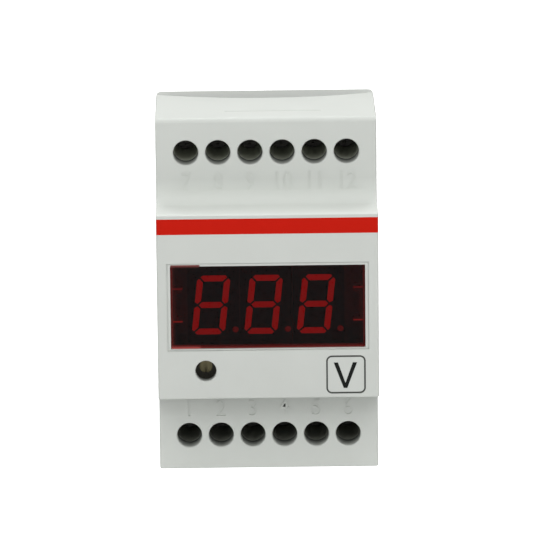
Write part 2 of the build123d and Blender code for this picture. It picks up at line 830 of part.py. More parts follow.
# Clip that slides down behind the base to free the rail
with BuildPart() as rail_clip:
    with BuildSketch(Plane.YZ):
        with BuildLine():
            Polyline(
                (clip_front, -hook_tip_z),
                (clip_front + clip_nose_slope, -hook_tip_z),
                (clip_front + clip_thickness, -hook_tip_z - clip_nose_slope),
                (clip_front + clip_thickness, -clip_bottom_z),
                (clip_front, -clip_bottom_z),
                close=True,
            )
        make_face()
    extrude(amount=clip_neck_width / 2, both=True)
    flange_top_z = half_rail + clip_clearance
    with BuildSketch(Plane.XY.offset(-flange_top_z)):
        with Locations((0, clip_front)):
            Rectangle(clip_flange_width, clip_flange_thickness, align=(Align.CENTER, Align.MIN))
    extrude(amount=-(lower_lug_foot_z - flange_top_z))
    clip_window_foot = clip_rib_z + clip_rib_thickness + clip_rib_play
    with BuildSketch(front_plane(-clip_front)):
        with Locations((0, -(clip_window_top + clip_window_foot) / 2)):
            Rectangle(clip_window_width, clip_window_foot - clip_window_top)
        with Locations((0, -clip_pull_z)):
            SlotOverall(clip_pull_width, clip_pull_height)
    extrude(amount=-clip_thickness, mode=Mode.SUBTRACT)
save(rail_clip.part, "rail_clip")

# Coil spring that pushes the clip up against the rail
spring_length = clip_rib_z - clip_window_top - 2 * spring_gap - spring_wire
spring_base = Vector(0, clip_front + clip_thickness / 2, -clip_rib_z + spring_gap + spring_wire / 2)
with BuildPart() as clip_spring:
    with BuildLine() as coil:
        Helix(
            pitch=spring_length / spring_turns,
            height=spring_length,
            radius=(spring_diameter - spring_wire) / 2,
            center=spring_base,
        )
    with BuildSketch(Plane(coil.line @ 0, z_dir=coil.line % 0)):
        Circle(spring_wire / 2)
    sweep()
save(clip_spring.part, "clip_spring")

# Terminal rows: block, contacts, screws and cages
for row, side, first_number in rows:
    with BuildPart() as block:
        block_middle_z = side * (block_inner_z + block_outer_z) / 2
        with BuildSketch(front_plane(block_rear_reach)):
            with Locations((0, block_middle_z)):
                Rectangle(block_width, block_outer_z - block_inner_z)
        extrude(amount=guide_rear_reach - block_rear_reach)
        with BuildSketch(front_plane(guide_rear_reach)):
            with Locations((0, side * terminal_height)):
                with GridLocations(terminal_pitch, 0, terminal_count, 1):
                    Circle(shaft_diameter / 2)
        extrude(amount=-(guide_rear_reach - web_front_reach), mode=Mode.SUBTRACT)
        with BuildSketch(front_plane(web_front_reach)):
            with Locations((0, side * terminal_height)):
                with GridLocations(terminal_pitch, 0, terminal_count, 1):
                    Circle(web_hole_diameter / 2)
        extrude(amount=-web_thickness, mode=Mode.SUBTRACT)
        with BuildSketch(front_plane(web_rear_reach)):
            with Locations((0, side * terminal_height)):
                with GridLocations(terminal_pitch, 0, terminal_count, 1):
                    Rectangle(pocket_width, pocket_height)
        extrude(amount=-(web_rear_reach - block_rear_reach), mode=Mode.SUBTRACT)

        # Slots for the contacts, open to the rear, and the wire entries
        with BuildSketch(front_plane(contact_reach + contact_pin_clearance)):
            with Locations((0, side * (block_inner_z + terminal_height) / 2)):
                with GridLocations(terminal_pitch, 0, terminal_count, 1):
                    Rectangle(
                        contact_width + 2 * contact_pin_clearance,
                        terminal_height - block_inner_z,
                    )
        extrude(amount=-(contact_reach + contact_pin_clearance - block_rear_reach), mode=Mode.SUBTRACT)
        with BuildSketch(Plane.XY.offset(side * block_outer_z)):
            with Locations((0, -(wire_front_reach + wire_rear_reach) / 2)):
                with GridLocations(terminal_pitch, 0, terminal_count, 1):
                    Rectangle(entry_width, wire_space)
        extrude(amount=-side * (block_outer_z - terminal_height), mode=Mode.SUBTRACT)
        outer_face = block.faces().sort_by(Axis.Z)[-1 if side > 0 else 0]
        chamfer([edge for rim in outer_face.inner_wires() for edge in rim.edges()], length=entry_chamfer)
    save(block.part, f"{row}_terminal_block")

    with BuildPart() as contacts:
        contact_inner_z = contact_pin_z - bar_thickness / 2
        with BuildSketch(front_plane(contact_reach)):
            with Locations((0, side * (contact_outer_z + contact_inner_z) / 2)):
                with GridLocations(terminal_pitch, 0, terminal_count, 1):
                    Rectangle(contact_width, contact_outer_z - contact_inner_z)
        extrude(amount=-bar_thickness)
        with BuildSketch(front_plane(contact_reach)):
            with Locations((0, side * contact_pin_z)):
                with GridLocations(terminal_pitch, 0, terminal_count, 1):
                    Rectangle(contact_pin_width, bar_thickness)
        extrude(amount=-(contact_reach - main_board_rear + pin_tail))
    save(contacts.part, f"{row}_contacts")

    for index, terminal_x in enumerate(terminal_places):
        number = first_number + index
        spot = (terminal_x, side * terminal_height)
        with BuildPart() as screw:
            with BuildSketch(front_plane(screw_seat_reach)):
                with Locations(spot):
                    Circle(screw_head_diameter / 2)
            extrude(amount=screw_head_height)
            with BuildSketch(front_plane(screw_seat_reach)):
                with Locations(spot):
                    Circle(screw_shank_diameter / 2)
            extrude(amount=-screw_shank_length)
            with BuildSketch(front_plane(screw_head_reach)):
                with Locations(spot):
                    Rectangle(screw_head_diameter + cut_margin, screw_slot_width)
                    Rectangle(screw_slot_width, screw_cross_length)
            extrude(amount=-screw_slot_depth, mode=Mode.SUBTRACT)
        save(screw.part, f"terminal_screw_{number}")

        with BuildPart() as cage:
            with BuildSketch(Plane.XY.offset(side * terminal_height)):
                with Locations((terminal_x, -(cage_front_reach + cage_rear_reach) / 2)):
                    RectangleRounded(cage_width, cage_front_reach - cage_rear_reach, cage_corner_radius)
                with Locations((terminal_x, -(cage_inner_reach + wire_rear_reach) / 2)):
                    Rectangle(
                        cage_width - 2 * cage_side,
                        cage_inner_reach - wire_rear_reach,
                        mode=Mode.SUBTRACT,
                    )
            extrude(amount=cage_length / 2, both=True)
            with BuildSketch(front_plane(cage_front_reach)):
                with Locations(spot):
                    Circle(screw_shank_diameter / 2 + thread_clearance)
            extrude(amount=-cage_top, mode=Mode.SUBTRACT)
        save(cage.part, f"cage_clamp_{number}")

# Transformer: laminated core, bobbin on its middle leg, and the winding
core_front_reach = core_reach + core_depth
core_middle_reach = core_reach + core_depth / 2
window_length = core_depth - 2 * core_window
with BuildPart() as transformer_core:
    with BuildSketch(Plane.XY):
        with Locations((0, -core_middle_reach)):
            Rectangle(core_width, core_depth)
            with GridLocations(core_leg + core_window, 0, 2, 1):
                Rectangle(core_window, window_length, mode=Mode.SUBTRACT)
    extrude(amount=core_stack / 2, both=True)
save(transformer_core.part, "transformer_core")

with BuildPart() as transformer_bobbin:
    bobbin_rear = core_middle_reach - window_length / 2 + coil_clearance
    bobbin_length = window_length - 2 * coil_clearance
    tube_width = core_leg + 2 * (coil_clearance + bobbin_wall)
    tube_height = core_stack + 2 * (coil_clearance + bobbin_wall)
    flange_width = core_leg + 2 * core_window - 2 * coil_clearance
    with BuildSketch(front_plane(bobbin_rear)):
        Rectangle(tube_width, tube_height)
    extrude(amount=bobbin_length)
    for flange_reach in (bobbin_rear, bobbin_rear + bobbin_length - bobbin_flange):
        with BuildSketch(front_plane(flange_reach)):
            Rectangle(flange_width, bobbin_height)
        extrude(amount=bobbin_flange)
    with BuildSketch(front_plane(bobbin_rear)):
        Rectangle(core_leg + 2 * coil_clearance, core_stack + 2 * coil_clearance)
    extrude(amount=bobbin_length, mode=Mode.SUBTRACT)
    with BuildSketch(front_plane(main_board_rear - pin_tail)):
        with GridLocations(2 * bobbin_pin_x, 2 * bobbin_pin_z, 2, 2):
            Rectangle(bobbin_pin, bobbin_pin)
    extrude(amount=bobbin_rear - main_board_rear + pin_tail)
save(transformer_bobbin.part, "transformer_bobbin")

with BuildPart() as transformer_winding:
    with BuildSketch(front_plane(bobbin_rear + bobbin_flange)):
        RectangleRounded(winding_width, winding_height, bobbin_wall)
        Rectangle(tube_width, tube_height, mode=Mode.SUBTRACT)
    extrude(amount=bobbin_length - 2 * bobbin_flange)
save(transformer_winding.part, "transformer_winding")


def build_can(diameter, length):
    """Profile of an electrolytic capacitor's can, turned about the upright axis through zero."""
    radius = diameter / 2
    with BuildPart() as can:
        with BuildSketch(Plane.XZ) as profile:
            with BuildLine():
                Polyline(
                    (0, 0),
                    (radius, 0),
                    (radius, can_groove_height),
                    (radius - can_groove_depth, can_groove_height + can_groove_depth),
                    (radius, can_groove_height + 2 * can_groove_depth),
                    (radius, length),
                    (0, length),
                    close=True,
                )
            make_face()
            fillet(profile.vertices().group_by(Axis.Y)[-1].sort_by(Axis.X)[-1], radius=can_edge_radius)
        revolve(axis=Axis.Z)
    return can.part


# Capacitors standing on the main board
for name, sign, diameter, length in (
    ("supply_capacitor", -1, can_diameter, can_length),
    ("filter_capacitor", 1, small_can_diameter, small_can_length),
):
    seat = Plane(origin=(sign * can_x, -main_board_reach, can_z), x_dir=(1, 0, 0), z_dir=(0, -1, 0))
    save(seat * build_can(diameter, length), name)

# Bridge rectifier on the main board, on four leads
with BuildPart() as bridge_rectifier:
    with BuildSketch(front_plane(main_board_reach + rectifier_lift)):
        with Locations((rectifier_x, rectifier_z)):
            Rectangle(rectifier_width, rectifier_height)
    extrude(amount=rectifier_depth)
    with BuildSketch(front_plane(main_board_reach)):
        with Locations((rectifier_x, rectifier_z)):
            with GridLocations(lead_pitch, lead_pitch, 2, 2):
                Rectangle(lead_thickness, lead_thickness)
    extrude(amount=rectifier_lift)
save(bridge_rectifier.part, "bridge_rectifier")

# Converter chip behind the display board, with leads on all four sides
with BuildPart() as converter_chip:
    with BuildSketch(front_plane(display_board_rear - chip_lift - chip_thickness)):
        with Locations((chip_x, chip_z)):
            Rectangle(chip_width, chip_width)
    extrude(amount=chip_thickness)
    with BuildSketch(front_plane(display_board_rear)):
        with Locations((chip_x, chip_z)):
            with GridLocations(chip_width + chip_lead_reach, chip_lead_pitch, 2, chip_lead_count):
                Rectangle(chip_lead_reach + cut_margin, chip_lead_width)
            with GridLocations(chip_lead_pitch, chip_width + chip_lead_reach, chip_lead_count, 2):
                Rectangle(chip_lead_width, chip_lead_reach + cut_margin)
    extrude(amount=-(chip_lift + chip_lead_thickness))
save(converter_chip.part, "converter_chip")

# Comb of pins that links the two boards
with BuildPart() as link_comb:
    with BuildSketch(front_plane(main_board_rear - pin_tail)):
        with Locations((0, comb_z)):
            with GridLocations(comb_pitch, 0, comb_count, 1):
                Rectangle(comb_pin, comb_pin)
    extrude(amount=display_board_reach - main_board_rear + pin_tail)
    strip_length = comb_count * comb_pitch
    for strip_reach in (main_board_reach, display_board_rear - comb_strip_thickness):
        with BuildSketch(front_plane(strip_reach)):
            with Locations((0, comb_z)):
                Rectangle(strip_length, comb_strip_height)
        extrude(amount=comb_strip_thickness)
save(link_comb.part, "link_comb")
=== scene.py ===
from math import cos, pi, radians, sin

import bmesh
import bpy
from mathutils import Matrix, Vector


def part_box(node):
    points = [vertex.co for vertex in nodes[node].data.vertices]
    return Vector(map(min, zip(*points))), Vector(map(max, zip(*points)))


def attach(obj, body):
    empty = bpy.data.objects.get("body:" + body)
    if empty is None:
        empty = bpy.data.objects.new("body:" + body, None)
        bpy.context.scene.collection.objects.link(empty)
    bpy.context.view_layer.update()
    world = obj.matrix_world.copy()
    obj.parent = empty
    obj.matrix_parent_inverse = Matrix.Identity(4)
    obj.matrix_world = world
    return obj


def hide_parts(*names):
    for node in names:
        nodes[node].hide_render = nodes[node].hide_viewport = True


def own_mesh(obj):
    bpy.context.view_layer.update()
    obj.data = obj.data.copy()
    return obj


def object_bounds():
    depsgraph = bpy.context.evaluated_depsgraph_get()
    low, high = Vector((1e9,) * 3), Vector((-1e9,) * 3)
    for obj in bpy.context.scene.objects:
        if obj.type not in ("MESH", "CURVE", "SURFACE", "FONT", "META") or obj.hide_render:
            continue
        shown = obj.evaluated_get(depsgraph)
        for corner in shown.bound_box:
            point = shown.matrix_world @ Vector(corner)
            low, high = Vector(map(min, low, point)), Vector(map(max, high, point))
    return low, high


# Looks of a three-module digital voltmeter, in metres, around its packed construction.
# X points right as seen from the front, the front looks along -Y, and Z is up.

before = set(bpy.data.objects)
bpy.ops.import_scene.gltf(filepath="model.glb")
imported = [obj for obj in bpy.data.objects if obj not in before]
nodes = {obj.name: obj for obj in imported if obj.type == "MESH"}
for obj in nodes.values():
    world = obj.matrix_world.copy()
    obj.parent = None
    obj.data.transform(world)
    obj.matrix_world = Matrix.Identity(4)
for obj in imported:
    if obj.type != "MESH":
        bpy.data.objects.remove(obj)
cad_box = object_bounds()

MM = 0.001

# Places on the housing that the pieces made here follow
SHOULDER_SETBACK = 12 * MM
NOSE_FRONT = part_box("front_cover")[0].y
SHOULDER_FRONT = NOSE_FRONT + SHOULDER_SETBACK
FLOOR = cad_box[0].z
TERMINAL_PITCH = 7.62 * MM
TERMINAL_COUNT = 6
terminal_low, terminal_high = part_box("terminal_screw_7")
TERMINAL_Z = (terminal_low.z + terminal_high.z) / 2
rotor_low, rotor_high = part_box("trimmer_rotor")
TRIMMER_X = (rotor_low.x + rotor_high.x) / 2
TRIMMER_Z = (rotor_low.z + rotor_high.z) / 2

# Distances under which points are joined, and angles over which edges stay sharp
WELD_DISTANCE = 0.002 * MM
SLIVER_LENGTH = 0.0005 * MM
SHARP_ANGLE = radians(25)
GROWN_SHARP_ANGLE = radians(40)

# Round holes for the screwdriver, how deep the daylight reaches into them, and the grey of the painted shade
# that darkens them further in
SCREW_HOLE_RADIUS = 3.3 * MM
TRIMMER_HOLE_RADIUS = 2.8 * MM
DAYLIGHT_DEPTH = 4.6 * MM
HOLE_SHADE_GREY = (0.062, 0.064, 0.056)

# Rounded hollow corner above the nose
NOSE_TOP = 22.5 * MM
COVE_RADIUS = 2.9 * MM
COVE_SEAT = 0.3 * MM
COVE_REACH = 25.95 * MM
COVE_STEPS = 8

# Painted light on the nose's top, and painted shade under the nose that fades below a height
FACE_MARGIN = 0.3 * MM
LEDGE_TONE = 1.15
LOWER_SHADE_TONE = 0.8
LOWER_SHADE_Z = -25.6 * MM
LOWER_SHADE_HEIGHT = 4.5 * MM

# Fine line moulded across the hood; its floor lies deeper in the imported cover
MARK_LINE_X = 1.7 * MM
MARK_LINE_Y = -37.2 * MM
MARK_LINE_HALF = 11.6 * MM
MARK_LINE_NEAR = 0.4 * MM
MARK_LINE_DEPTH = 0.06 * MM
MARK_LINE_CUT = 0.3 * MM
HOOD_TOP = 43.0 * MM

# Fine line round the shallow frame of the window
FRAME_WIDTH = 47.6 * MM
FRAME_HEIGHT = 21.2 * MM
FRAME_LINE = 0.16 * MM
FRAME_LINE_DEPTH = 0.42 * MM

# Dark red window: the plate, the painted light along its edges and at the end of its tab
WINDOW_WIDTH = 46.0 * MM
WINDOW_THICKNESS = 1.5 * MM
WINDOW_BEVEL = 0.9 * MM
WINDOW_RIM = 1.3 * MM
WINDOW_TAB_END = -16.1 * MM
LEG_HEIGHT = 8.0 * MM
POINT_WIDTH = 1.45 * MM

# Engraved numbers beside the screwdriver holes
NUMERAL_HEIGHT = 4.4 * MM
NUMERAL_NARROWING = 0.8
NUMERAL_DEPTH = 0.16 * MM
NUMERAL_BOLDNESS = 0.008
UPPER_NUMERAL_Z = 27.8 * MM
LOWER_NUMERAL_Z = -27.75 * MM

# Unit sign printed on the nose
SIGN_X = 18.35 * MM
SIGN_Z = -16.81 * MM
SIGN_WIDTH = 9.39 * MM
SIGN_HEIGHT = 9.35 * MM
SIGN_CORNER = 1.4 * MM
SIGN_LINE = 0.40 * MM
INK_THICKNESS = 0.02 * MM
LETTER_X = 18.22 * MM
LETTER_WIDTH = 5.54 * MM
LETTER_HEIGHT = 6.28 * MM
LETTER_STROKE = 1.0 * MM
LETTER_Z = -17.0 * MM
LETTER_POINT = 0.42
LETTER_NOTCH = 1.25

# Threads of the terminal screws
SCREW_HEAD_HEIGHT = 1.8 * MM
SCREW_CREST = 1.45 * MM
SCREW_CORE = 1.2 * MM
SCREW_PITCH = 0.5 * MM
THREAD_RUNOUT = 0.8

# Spring behind the rail clip
SPRING_WIRE = 0.4 * MM
SPRING_TURNS = 6.0

# Winding, leads of the chip, and the solder joints of the boards
WINDING_WIRE = 0.5 * MM
WINDING_CORNER = 0.8 * MM
LEAD_REACH = 1.5 * MM
SOLDER_FOOT = 1.0 * MM
SOLDER_TIP = 0.42 * MM
SOLDER_HEIGHT = 0.7 * MM
CONTACT_THICKNESS = 0.8 * MM
BOBBIN_PIN_X = 7.6 * MM
BOBBIN_PIN_Z = 9.8 * MM
PIN_PITCH = 2.54 * MM
COMB_PINS = 10
DIGIT_PINS = 5
DIGIT_PIN_Z = 7.62 * MM

# Floor and world
FLOOR_REACH = 4.0
FLOOR_GLOW = 0.75
WORLD_STRENGTH = 0.02

# Card of light on the floor, right in front of the lower shoulder
FOOT_CARD_WIDTH = 60 * MM
FOOT_CARD_DEPTH = 16 * MM
FOOT_CARD_LIFT = 0.2 * MM
FOOT_CARD_POWER = 0.0009

# Camera, from the angles and distance that the photograph was taken at
CAMERA_YAW = radians(0.387)
CAMERA_PITCH = radians(14.225)
CAMERA_ROLL = radians(-0.594)
CAMERA_DISTANCE = 1289.7 * MM
CAMERA_SHIFT_X = -0.487 * MM
CAMERA_SHIFT_Z = -8.687 * MM
CAMERA_LENS = 363.65


class Value:
    """A number that varies over a surface; arithmetic on it adds Math nodes."""

    def __init__(self, finish, socket):
        self.finish = finish
        self.socket = socket

    def math(self, operation, first, second=0.0, **settings):
        node = self.finish.add("ShaderNodeMath", {"operation": operation, **settings}, {0: first, 1: second})
        return Value(self.finish, node.outputs[0])

    def __add__(self, other):
        return self.math("ADD", self, other)

    def __radd__(self, other):
        return self.math("ADD", other, self)

    def __sub__(self, other):
        return self.math("SUBTRACT", self, other)

    def __rsub__(self, other):
        return self.math("SUBTRACT", other, self)

    def __mul__(self, other):
        return self.math("MULTIPLY", self, other)

    def __rmul__(self, other):
        return self.math("MULTIPLY", other, self)

    def __truediv__(self, other):
        return self.math("DIVIDE", self, other)

    def __mod__(self, other):
        return self.math("FLOORED_MODULO", self, other)

    def __abs__(self):
        return self.math("ABSOLUTE", self)

    def above(self, limit):
        return self.math("GREATER_THAN", self, limit)

    def below(self, limit):
        return self.math("LESS_THAN", self, limit)

    def power(self, exponent):
        return self.math("POWER", self, exponent)

    def clamped(self):
        return self.math("ADD", self, 0.0, use_clamp=True)


class Tree:
    """A node tree while it is being made."""

    def feed(self, socket, value):
        if isinstance(value, Value):
            value = value.socket
        if isinstance(value, bpy.types.NodeSocket):
            self.tree.links.new(value, socket)
        else:
            socket.default_value = value

    def add(self, kind, settings=None, sockets=None):
        """Add one node: its settings come first, then the values or links of its sockets."""
        node = self.tree.nodes.new(kind)
        for name, value in (settings or {}).items():
            setattr(node, name, value)
        for name, value in (sockets or {}).items():
            self.feed(node.inputs[name], value)
        return node


class Finish(Tree):
    """A procedural material while it is being made."""

    def __init__(self, name, **constants):
        self.material = bpy.data.materials.new(name)
        self.material.use_nodes = True
        self.tree = self.material.node_tree
        self.surface = self.tree.nodes["Principled BSDF"]
        self.set(**constants)
        self.place = self.add("ShaderNodeTexCoord").outputs["Object"]

    def set(self, **sockets):
        """Give the surface constants or links, by socket name with the spaces left out."""
        for socket in self.surface.inputs:
            if socket.name.replace(" ", "") in sockets:
                self.feed(socket, sockets[socket.name.replace(" ", "")])

    def axes(self):
        """The three coordinates of a point on the piece, in metres."""
        split = self.add("ShaderNodeSeparateXYZ", None, {0: self.place})
        return [Value(self, output) for output in split.outputs]

    def noise(self, size, detail=2.0, stretch=(1, 1, 1)):
        """Soft noise from 0 to 1 whose patches are about this large, in metres."""
        place = self.place
        if stretch != (1, 1, 1):
            place = self.add("ShaderNodeMapping", None, {"Vector": place, "Scale": stretch}).outputs[0]
        node = self.add(
            "ShaderNodeTexNoise", None, {"Vector": place, "Scale": 1 / size, "Detail": detail}
        )
        return Value(self, node.outputs[0])

    def mix(self, share, first, second):
        """A colour between two others."""
        node = self.add(
            "ShaderNodeMix",
            {"data_type": "RGBA"},
            {"Factor": share, 6: (*first, 1) if isinstance(first, tuple) else first,
             7: (*second, 1) if isinstance(second, tuple) else second},
        )
        return node.outputs[2]

    def bump(self, height, depth):
        """Normals of a relief whose full height is this deep, in metres."""
        node = self.add("ShaderNodeBump", None, {"Height": height, "Distance": depth, "Strength": 1.0})
        self.set(Normal=node.outputs[0])

    def show(self, shader):
        """Give the material another shader than its plain surface."""
        self.feed(self.tree.nodes["Material Output"].inputs["Surface"], shader)


class Growth(Tree):
    """A Geometry Nodes tree while it is being made, with its sizes as named inputs."""

    def __init__(self, name, sizes):
        self.tree = bpy.data.node_groups.new(name, "GeometryNodeTree")
        self.sizes = sizes
        sockets = self.tree.interface
        sockets.new_socket("Geometry", in_out="OUTPUT", socket_type="NodeSocketGeometry")
        sockets.new_socket("Geometry", in_out="INPUT", socket_type="NodeSocketGeometry")
        self.identifiers = {}
        for size, value in sizes.items():
            kind = "NodeSocketInt" if isinstance(value, int) else "NodeSocketFloat"
            self.identifiers[size] = sockets.new_socket(size, in_out="INPUT", socket_type=kind).identifier
        self.given = self.add("NodeGroupInput").outputs
        self.end = self.add("NodeGroupOutput").inputs

    def size(self, name):
        """One of the named sizes, ready for arithmetic."""
        return Value(self, self.given[name])

    def tube(self, path, radius, sides=10):
        """Round or few-sided bar along a path."""
        profile = self.add("GeometryNodeCurvePrimitiveCircle", None, {"Resolution": sides, "Radius": radius})
        return self.add("GeometryNodeCurveToMesh", None, {
            "Curve": path, "Profile Curve": profile.outputs[0], "Fill Caps": True,
        }).outputs[0]

    def grow(self, name, start, geometry, material, place=Matrix()):
        """Run the tree on a starting mesh and keep the result as a plain piece, moved to its place."""
        whole = self.add("GeometryNodeRealizeInstances", None, {0: geometry})
        painted = self.add("GeometryNodeSetMaterial", None, {
            "Geometry": whole.outputs[0], "Material": material,
        })
        self.feed(self.end[0], painted.outputs[0])
        carrier = mesh_object(name, start, material)
        growth = carrier.modifiers.new("growth", "NODES")
        growth.node_group = self.tree
        for size, identifier in self.identifiers.items():
            growth[identifier] = self.sizes[size]
        grown = evaluated_mesh(carrier)
        carrier.modifiers.clear()
        grown.transform(place)
        carrier.data = grown
        smooth_by_angle(grown, GROWN_SHARP_ANGLE)
        return carrier


def finish_moulding(name, colour, roughness, grain=0.28 * MM, depth=0.006 * MM, sheen=0.035, gloss=0.2):
    """Moulded plastic with a fine eroded grain and a faint cloudiness."""
    made = Finish(name, SpecularIORLevel=gloss)
    set_moulding(made, colour, roughness, grain, depth, sheen)
    return made.material


def set_moulding(made, colour, roughness, grain, depth, sheen):
    """Give a finish the colour, grain and cloudiness of a moulding; the colour comes back for more work."""
    cloud = made.noise(9 * MM, 3.0)
    speck = made.noise(grain, 3.0)
    darker = tuple(c * (1 - sheen) for c in colour)
    lighter = tuple(min(1, c * (1 + sheen)) for c in colour)
    made.set(
        BaseColor=made.mix(cloud * 0.7 + speck * 0.3, darker, lighter),
        Roughness=roughness + (speck - 0.5) * 0.12 + (cloud - 0.5) * 0.06,
    )
    made.bump(speck, depth)
    return made.surface.inputs["Base Color"].links[0].from_socket


def near_screws(x, z):
    """1 near the screws' axes; the pattern has no limit along x, so the housing's sides get bands of it."""
    aside = (x % TERMINAL_PITCH) - TERMINAL_PITCH / 2
    above = abs(z) - TERMINAL_Z
    return (aside * aside + above * above).below(SCREW_HOLE_RADIUS**2)


def finish_cover(name, colour, roughness):
    """Housing plastic with painted shade that darkens its round holes towards their inner ends, painted light
    on the nose's top and painted shade under the nose.
    """
    made = Finish(name, SpecularIORLevel=0.2)
    clean = set_moulding(made, colour, roughness, 0.28 * MM, 0.006 * MM, 0.035)
    x, y, z = made.axes()
    in_hole = near_screws(x, z)
    hole_depth = ((y - SHOULDER_FRONT) / DAYLIGHT_DEPTH).clamped()
    aside = x - TRIMMER_X
    above = z - TRIMMER_Z
    in_eye = (aside * aside + above * above).below(TRIMMER_HOLE_RADIUS**2)
    eye_depth = ((y - NOSE_FRONT) / DAYLIGHT_DEPTH * 2).clamped()
    # Painted shade: the walls of the round holes turn dark grey towards their inner ends
    painted_hole_shade = (in_hole * hole_depth + in_eye * eye_depth).clamped()
    before = y.below(SHOULDER_FRONT + FACE_MARGIN)
    on_ledge = before * z.above(NOSE_TOP - FACE_MARGIN)
    ledge = on_ledge * ((NOSE_TOP + 2 * COVE_RADIUS - z) / COVE_RADIUS).clamped()
    lifted = made.mix(ledge, clean, tuple(c * LEDGE_TONE for c in colour))
    below = before * y.above(SHOULDER_FRONT - FACE_MARGIN) * z.below(-NOSE_TOP)
    under = below * (1 - (LOWER_SHADE_Z - z) / LOWER_SHADE_HEIGHT).clamped()
    shaded = made.mix(under, lifted, tuple(c * LOWER_SHADE_TONE for c in colour))
    made.set(BaseColor=made.mix(painted_hole_shade, shaded, HOLE_SHADE_GREY))
    return made.material


def finish_block():
    """Black terminal block whose bores are painted pale grey as painted light, paler in the upper row."""
    made = Finish("terminal_black", SpecularIORLevel=0.1)
    black = set_moulding(made, (0.045, 0.046, 0.042), 0.6, 0.35 * MM, 0.01 * MM, 0.15)
    x, y, z = made.axes()
    in_bore = near_screws(x, z)
    # Painted light: the bores are pale grey, paler in the upper row, for light that reaches into the holes
    painted_bore_light = made.mix(z.above(0), (0.31, 0.32, 0.28), (0.54, 0.56, 0.48))
    made.set(BaseColor=made.mix(in_bore, black, painted_bore_light))
    return made.material


def finish_metal(name, colour, roughness, marks=(1, 1, 1), mark_size=0.2 * MM, depth=0.004 * MM):
    """Plated or bare metal with drawn or turned marks and dull patches."""
    made = Finish(name, Metallic=1.0)
    mark = made.noise(mark_size, 2.0, marks)
    patch = made.noise(2.2 * MM, 3.0)
    dull = tuple(c * 0.78 for c in colour)
    made.set(BaseColor=made.mix(patch, colour, dull), Roughness=roughness + mark * 0.16 + patch * 0.1)
    made.bump(mark, depth)
    return made.material


def finish_window():
    """Dark red see-through plastic with painted light along its edges, at its tab and on its legs, given as
    emission.
    """
    low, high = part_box("display_filter")
    made = Finish("window_red", TransmissionWeight=1.0, IOR=1.135, EmissionStrength=1.0)
    x, y, z = made.axes()
    smear = made.noise(6 * MM, 2.0)
    red = made.mix(smear, (0.29, 0.014, 0.010), (0.32, 0.016, 0.011))
    made.set(BaseColor=red, Roughness=0.03 + smear * 0.02)
    made.bump(smear, 0.01 * MM)

    # Painted light: the emission below lights the plate's edges, the end of its tab and its legs
    foot = ((low.z + WINDOW_BEVEL - z) / WINDOW_BEVEL).clamped()
    head = ((z - high.z + WINDOW_BEVEL) / WINDOW_BEVEL).clamped()
    side = ((abs(x) - WINDOW_WIDTH / 2 + WINDOW_RIM) / WINDOW_RIM).clamped()
    tab = (WINDOW_TAB_END - x).above(0)
    leg = (y - low.y - WINDOW_THICKNESS).above(0.02 * MM)
    dark = (0.0, 0.0, 0.0)
    glow = made.mix(side.power(1.5) * (0.6 - x * 17).clamped(), dark, (0.040, 0.008, 0.007))
    glow = made.mix(head.power(2.0) * (0.12 + tab * 0.53), glow, (0.28, 0.11, 0.10))
    glow = made.mix(foot.power(1.4) * (0.3 + tab * 0.7), glow, (0.24, 0.075, 0.07))
    painted_leg_edge_light = leg * abs(z).above(LEG_HEIGHT / 2 - 0.1 * MM) * (y - low.y - WINDOW_THICKNESS).below(1.3 * MM)
    glow = made.mix(leg, glow, (0.012, 0.002, 0.002))
    made.set(EmissionColor=made.mix(painted_leg_edge_light, glow, (0.26, 0.026, 0.022)))

    clear = made.add("ShaderNodeBsdfTransparent", None, {"Color": (0.46, 0.035, 0.025, 1)})
    rays = made.add("ShaderNodeLightPath").outputs
    for_lamps = (Value(made, rays["Is Shadow Ray"]) + Value(made, rays["Is Diffuse Ray"])).clamped()
    mixed = made.add("ShaderNodeMixShader", None, {
        0: for_lamps, 1: made.surface.outputs[0], 2: clear.outputs[0],
    })
    made.show(mixed.outputs[0])
    return made.material


def finish_board():
    """Green solder resist over copper tracks on a glass laminate."""
    made = Finish("board_green", CoatWeight=0.3, CoatRoughness=0.15)
    x, y, z = made.axes()
    weave = made.noise(0.5 * MM, 2.0, (1, 1, 1))
    along = abs(((x + (z % (6 * MM)) * 0.3) % PIN_PITCH) - PIN_PITCH / 2).below(0.22 * MM)
    across = abs((z % PIN_PITCH) - PIN_PITCH / 2).below(0.22 * MM)
    split = made.noise(11 * MM, 1.0)
    gate = made.noise(4 * MM, 1.0, (1, 1, 0.4)).above(0.52)
    track = (along * split.above(0.5) + across * split.below(0.5)) * gate
    green = made.mix(weave, (0.012, 0.105, 0.040), (0.018, 0.135, 0.052))
    made.set(BaseColor=made.mix(track, green, (0.045, 0.235, 0.085)), Roughness=0.32 + weave * 0.12)
    made.bump(track * 0.8 + weave * 0.2, 0.03 * MM)
    return made.material


def finish_segments(node):
    """Cast red resin of the unlit light bars, with a painted glow in their own colour as emission, deeper in
    colour at random places and on the decimal point.
    """
    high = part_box(node)[1]
    made = Finish(f"{node}_red", EmissionStrength=0.33, SpecularIORLevel=0.1)
    x, y, z = made.axes()
    tone = made.noise(1.6 * MM, 2.0)
    point = (x - high.x).above(-POINT_WIDTH)
    bars = made.mix(tone, (0.84, 0.026, 0.012), (0.96, 0.036, 0.018))
    colour = made.mix(point, bars, (0.30, 0.014, 0.010))
    made.set(BaseColor=colour, EmissionColor=colour, Roughness=0.38 + tone * 0.1)
    made.bump(tone, 0.01 * MM)
    return made.material


def finish_module(face_reach):
    """Display module: a black face, and pale sides behind it."""
    made = Finish("module_black", SpecularIORLevel=0.0)
    x, y, z = made.axes()
    grain = made.noise(2.5 * MM, 2.0)
    side = (y - face_reach).above(0.35 * MM)
    black = made.mix(grain, (0.0055, 0.0050, 0.0048), (0.0070, 0.0060, 0.0058))
    made.set(BaseColor=made.mix(side, black, (0.46, 0.45, 0.42)), Roughness=0.5 + grain * 0.15)
    made.bump(grain, 0.006 * MM)
    return made.material


